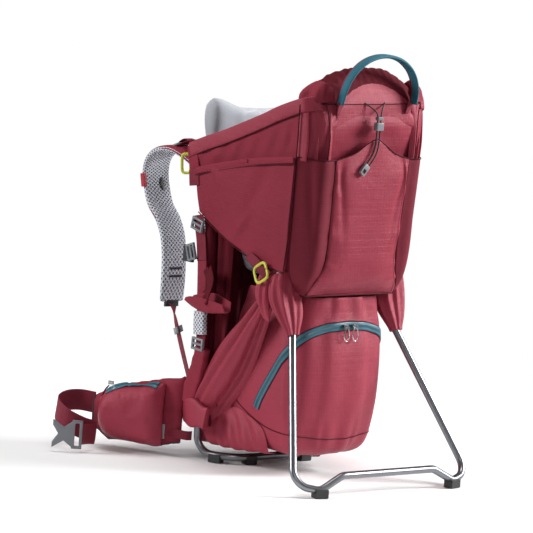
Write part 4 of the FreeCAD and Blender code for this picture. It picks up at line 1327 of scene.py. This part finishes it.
# ---------------------------------------------------------------- hip belt
class CARRIER_OT_hip_belt(bpy.types.Operator):
    """Padded hip fins with their pockets, zips, webbing and piping"""
    bl_idname = "carrier.hip_belt"
    bl_label = "Hip belt"

    def on_fin(self, s, depth, z):
        """A point on the left fin: s along it, depth out from its middle, z up, in millimetres."""
        a = math.radians(26.0)
        return mm(-(132 + s * math.sin(a) + depth * math.cos(a)), 86 + s * math.cos(a) - depth * math.sin(a),
            z)

    def execute(self, context):
        fin = stuffed("hip_fin_pad_left", merged_copy("hip_fin_left"), "side", 0.006, shrink=0.001)
        out = (self.on_fin(0, 10, 0) - self.on_fin(0, 0, 0)).normalized()
        quilt(fin, lambda p: -0.0022 * ridge((p - self.on_fin(0, 0, 84)).z, 0.0, 0.004))
        pads = both_sides(rounder(fin), "hip_fin_left", ("hip_fin_left",), "hip_fin_right",
            ("hip_fin_right",))
        shape = merged_copy("hip_pocket_left")
        middle = self.on_fin(107, 20, 72)
        turn = Matrix.Rotation(math.radians(-26.0), 4, "Z")
        grow = Matrix.Translation(middle) @ turn.inverted() @ Matrix.Diagonal((1.0, 1.15, 1.14, 1)) @ turn \
            @ Matrix.Translation(-middle)
        bmesh.ops.transform(shape, matrix=grow, verts=shape.verts)
        pocket = stuffed("hip_pocket_bag_left", shape, "shell", 0.012, shrink=0.0, rounds=26)
        quilt(pocket, lambda p: 0.0016 * bump_field(p, 42.0, 4.0))
        bags = both_sides(rounder(pocket), "hip_fin_left", ("hip_pocket_left",), "hip_fin_right",
            ("hip_pocket_right",))
        pad_tree = surface_of(pads[0])
        rim = [self.on_fin(s, 5, z) for s, z in ((8, 23), (35, 13), (60, 4), (110, 6), (160, 9), (176, 22),
            (190, 34),
                                                (192, 62), (191, 90))]
        spots, _ = lay(pad_tree, rim, 0.0006, 60)
        both_sides(piping("fin_piping_left", spots, 0.0017, "pipe_grey", steps=120), "hip_fin_left", (),
            "hip_fin_right")
        tree = surface_of(bags[0])
        top = [self.on_fin(s, 22, z) for s, z in ((56, 124), (80, 123), (110, 118), (136, 110), (154, 100))]
        spots, normals = lay(tree, top, 0.0010, 30)
        tape = strip("hip_zip_tape_left", spots, 0.017, 0.0022, "zip", ups=normals, steps=80, count=12)
        both_sides(tape, "hip_fin_left", (), "hip_fin_right")
        edge = [self.on_fin(s, 11, z) for s, z in ((50, 22), (48, 70), (50, 122), (90, 121), (138, 108),
            (163, 86), (165, 44),
                                                  (148, 23), (100, 19), (50, 18))]
        spots, _ = lay(tree, edge, 0.0004, 60)
        both_sides(piping("hip_pocket_seam_left", spots, 0.0009, steps=120), "hip_fin_left", (),
            "hip_fin_right")
        tether = [self.on_fin(s, d, z) for s, d, z in ((153, 16, 110), (161, 15, 100), (166, 14, 84),
            (170, 12, 66), (171, 10, 50))]
        both_sides(piping("hip_zip_tether_left", tether, 0.0013, "piping", steps=30), "hip_zip_left", (),
            "hip_zip_right")
        toggle = [self.on_fin(s, d, z) for s, d, z in ((166, 14, 86), (168.5, 13, 76), (170, 12, 64))]
        both_sides(strip("hip_zip_toggle_left", toggle, 0.005, 0.004, "pale", across=out, steps=10, count=10),
                   "hip_zip_left", (), "hip_zip_right")
        self.webbing()
        return {"FINISHED"}

    def webbing(self):
        start = self.on_fin(184, 3, 74)
        loop = [start, mm(-232, 272, 76), mm(-256, 281, 74), mm(-280, 274, 68), mm(-293, 252, 60),
            mm(-292, 228, 50),
                mm(-276, 210, 40), mm(-254, 200, 33)]
        band = strip("hip_band_left", loop, 0.038, 0.0022, "webbing", across=Vector((0.05, -0.1, 1)),
            steps=110)
        both_sides(band, "hip_belt_left", ("hip_webbing_left",), "hip_belt_right", ("hip_webbing_right",))
        tail = [mm(-296, 182, 32), mm(-284, 188, 31.5), mm(-268, 194, 30), mm(-252, 199, 28)]
        both_sides(strip("hip_tail_left", tail, 0.036, 0.0050, "webbing", across=Vector((0, 0, 1)), steps=40),
                   "hip_belt_left", (), "hip_belt_right")
        stabiliser = [self.on_fin(s, d, z) for s, d,
            z in ((104, 9, 40), (70, 9.5, 42), (34, 10, 42), (4, 9, 40))] + [mm(-131, 80, 40)]
        both_sides(strip("stabiliser_band_left", stabiliser, 0.016, 0.0018, "webbing",
            across=Vector((0, 0, 1)), steps=50),
                   "hip_fin_left", (), "hip_fin_right")
        lock = strip("stabiliser_lock_left", [self.on_fin(s, 11.5, 42) for s in (62, 52, 42)], 0.026, 0.0035,
            "pale",
                     across=Vector((0, 0, 1)), steps=10)
        both_sides(lock, "hip_fin_left", (), "hip_fin_right")


class CARRIER_OT_stirrups(bpy.types.Operator):
    """Foot stirrups and the bands that they hang from"""
    bl_idname = "carrier.stirrups"
    bl_label = "Stirrups"

    def execute(self, context):
        upper = at_side(-139, [(96, 428), (92, 412), (84, 385), (78, 350)])
        both_sides(strip("stirrup_band_upper_left", upper, 0.025, 0.002, "webbing",
            ups=[Vector((-1, 0, 0))] * 4, steps=50),
                   "pack", ("stirrup_straps",))
        lower = at_side(-138.0, [(78, 352), (75, 320), (71, 270), (67, 225), (66, 200)])
        both_sides(strip("stirrup_band_lower_left", lower, 0.024, 0.003, "side",
            ups=[Vector((-1, 0, 0))] * 5, steps=50),
                   "pack")
        cuff = at_side(-136.0, [(62, 200), (66, 176), (75, 145), (88, 112), (92, 98)])
        both_sides(rounder(strip("belt_cuff_left", cuff, 0.036, 0.016, "side", ups=[Vector((-1, 0, 0))] * 5,
            steps=40,
                                 swell=lambda t: (0.8 + 0.35 * t + 0.05 * math.sin(t * 30), 1.0))), "pack")
        wrap = [mm(-128, 106, 82), mm(-138, 88, 84), mm(-141, 58, 82), mm(-138, 34, 78)]
        both_sides(rounder(strip("belt_wrap_left", wrap, 0.046, 0.012, "shell", across=Vector((0, 0.2, 1)),
            steps=40,
                                 swell=lambda t: (1.0 - 0.15 * math.sin(t * 9), 1.0))), "pack")
        clip = at_side(-141, [(112, 372), (112, 358), (112, 344)])
        both_sides(strip("side_release_left", clip, 0.026, 0.008, "dark", ups=[Vector((-1, 0, 0))] * 3,
            steps=14), "pack")
        mesh = at_side(-140, [(70, 262), (69, 240), (67, 222)])
        both_sides(strip("stirrup_mesh_left", mesh, 0.028, 0.012, "mesh", ups=[Vector((-1, 0, 0))] * 3,
            steps=40), "pack")
        rows = [[mm(*p) for p in row] for row in (
            [(-145, 84, 288), (-143, 62, 296), (-143, 30, 300), (-144, -16, 292)],
            [(-150, 88, 281), (-149, 60, 273), (-149, 30, 270), (-150, -21, 276)],
            [(-163, 89, 280), (-166, 60, 272), (-166, 30, 269), (-163, -22, 275)],
            [(-164, 86, 286), (-171, 62, 291), (-171, 30, 292), (-165, -17, 288)])]
        sling = cloth("stirrup_sling_left", rows, (34, 30), "side", thick=0.0026)
        both_sides(sling, "stirrup_left", ("stirrup_left",), "stirrup_right", ("stirrup_right",))
        for name, line in (("stirrup_stay_front_left",
            [mm(-144, 62, 290), mm(-143.5, 50, 305), mm(-142.5, 52, 322),
                                                        mm(-142, 62, 338)]),
                           ("stirrup_stay_rear_left",
                           [mm(-167, 30, 284), mm(-165, 26, 300), mm(-156, 30, 320),
                                                       mm(-144, 52, 338)])):
            stay = strip(name, line, 0.022, 0.0028, "shade", across=Vector((0.3, 1, -0.3)), steps=30)
            both_sides(stay, "stirrup_left", (), "stirrup_right")
        ring = open_ring("entry_ring_left", mm(-149, -92, 355), Vector((0.1, 0.55, 0.83)),
            Vector((-1, 0, 0.1)), 0.031, 0.030,
                         0.0026, "clip")
        both_sides(ring, "pack", ("entry_buckles",))
        hook = open_ring("entry_hook_left", mm(-131, 149, 511), Vector((0, 0.1, 1)),
            Vector((-0.85, -0.5, 0)), 0.016, 0.033,
                         0.0027, "clip")
        both_sides(hook, "pack")
        entry = [mm(-136, -40, 378), mm(-145, -62, 374), mm(-146, -84, 364), mm(-142, -104, 350)]
        both_sides(strip("entry_band_left", entry, 0.018, 0.003, "webbing", ups=[Vector((-1, 0, 0.3))] * 4,
            steps=40), "pack")
        return {"FINISHED"}


CLASSES = (CarrierColours, CarrierSizes, CARRIER_OT_stage, CARRIER_OT_frame, CARRIER_OT_cord,
    CARRIER_OT_side_panels,
           CARRIER_OT_rear, CARRIER_OT_headrest, CARRIER_OT_padding, CARRIER_OT_straps, CARRIER_OT_lower_bag,
           CARRIER_OT_drapes, CARRIER_OT_hip_belt, CARRIER_OT_stirrups)


class CARRIER_PT_panel(bpy.types.Panel):
    """Buttons that build the carrier"""
    bl_idname = "CARRIER_PT_panel"
    bl_label = "Carrier"
    bl_space_type = "VIEW_3D"
    bl_region_type = "UI"
    bl_category = "Carrier"

    def draw(self, context):
        for group in (context.scene.carrier_colours, context.scene.carrier_sizes):
            for name in group.__annotations__:
                self.layout.prop(group, name)
        for kind in CLASSES[2:]:
            self.layout.operator(kind.bl_idname)


def register():
    for kind in (*CLASSES, CARRIER_PT_panel):
        bpy.utils.register_class(kind)
    bpy.types.Scene.carrier_colours = PointerProperty(type=CarrierColours)
    bpy.types.Scene.carrier_sizes = PointerProperty(type=CarrierSizes)


def unregister():
    del bpy.types.Scene.carrier_sizes
    del bpy.types.Scene.carrier_colours
    for kind in reversed((*CLASSES, CARRIER_PT_panel)):
        bpy.utils.unregister_class(kind)


def main():
    register()
    for build in (bpy.ops.carrier.stage, bpy.ops.carrier.frame, bpy.ops.carrier.cord,
        bpy.ops.carrier.side_panels,
                  bpy.ops.carrier.rear, bpy.ops.carrier.headrest, bpy.ops.carrier.padding,
                  bpy.ops.carrier.straps,
                  bpy.ops.carrier.lower_bag, bpy.ops.carrier.drapes, bpy.ops.carrier.hip_belt,
                  bpy.ops.carrier.stirrups):
        build()


if __name__ == "__main__":
    main()
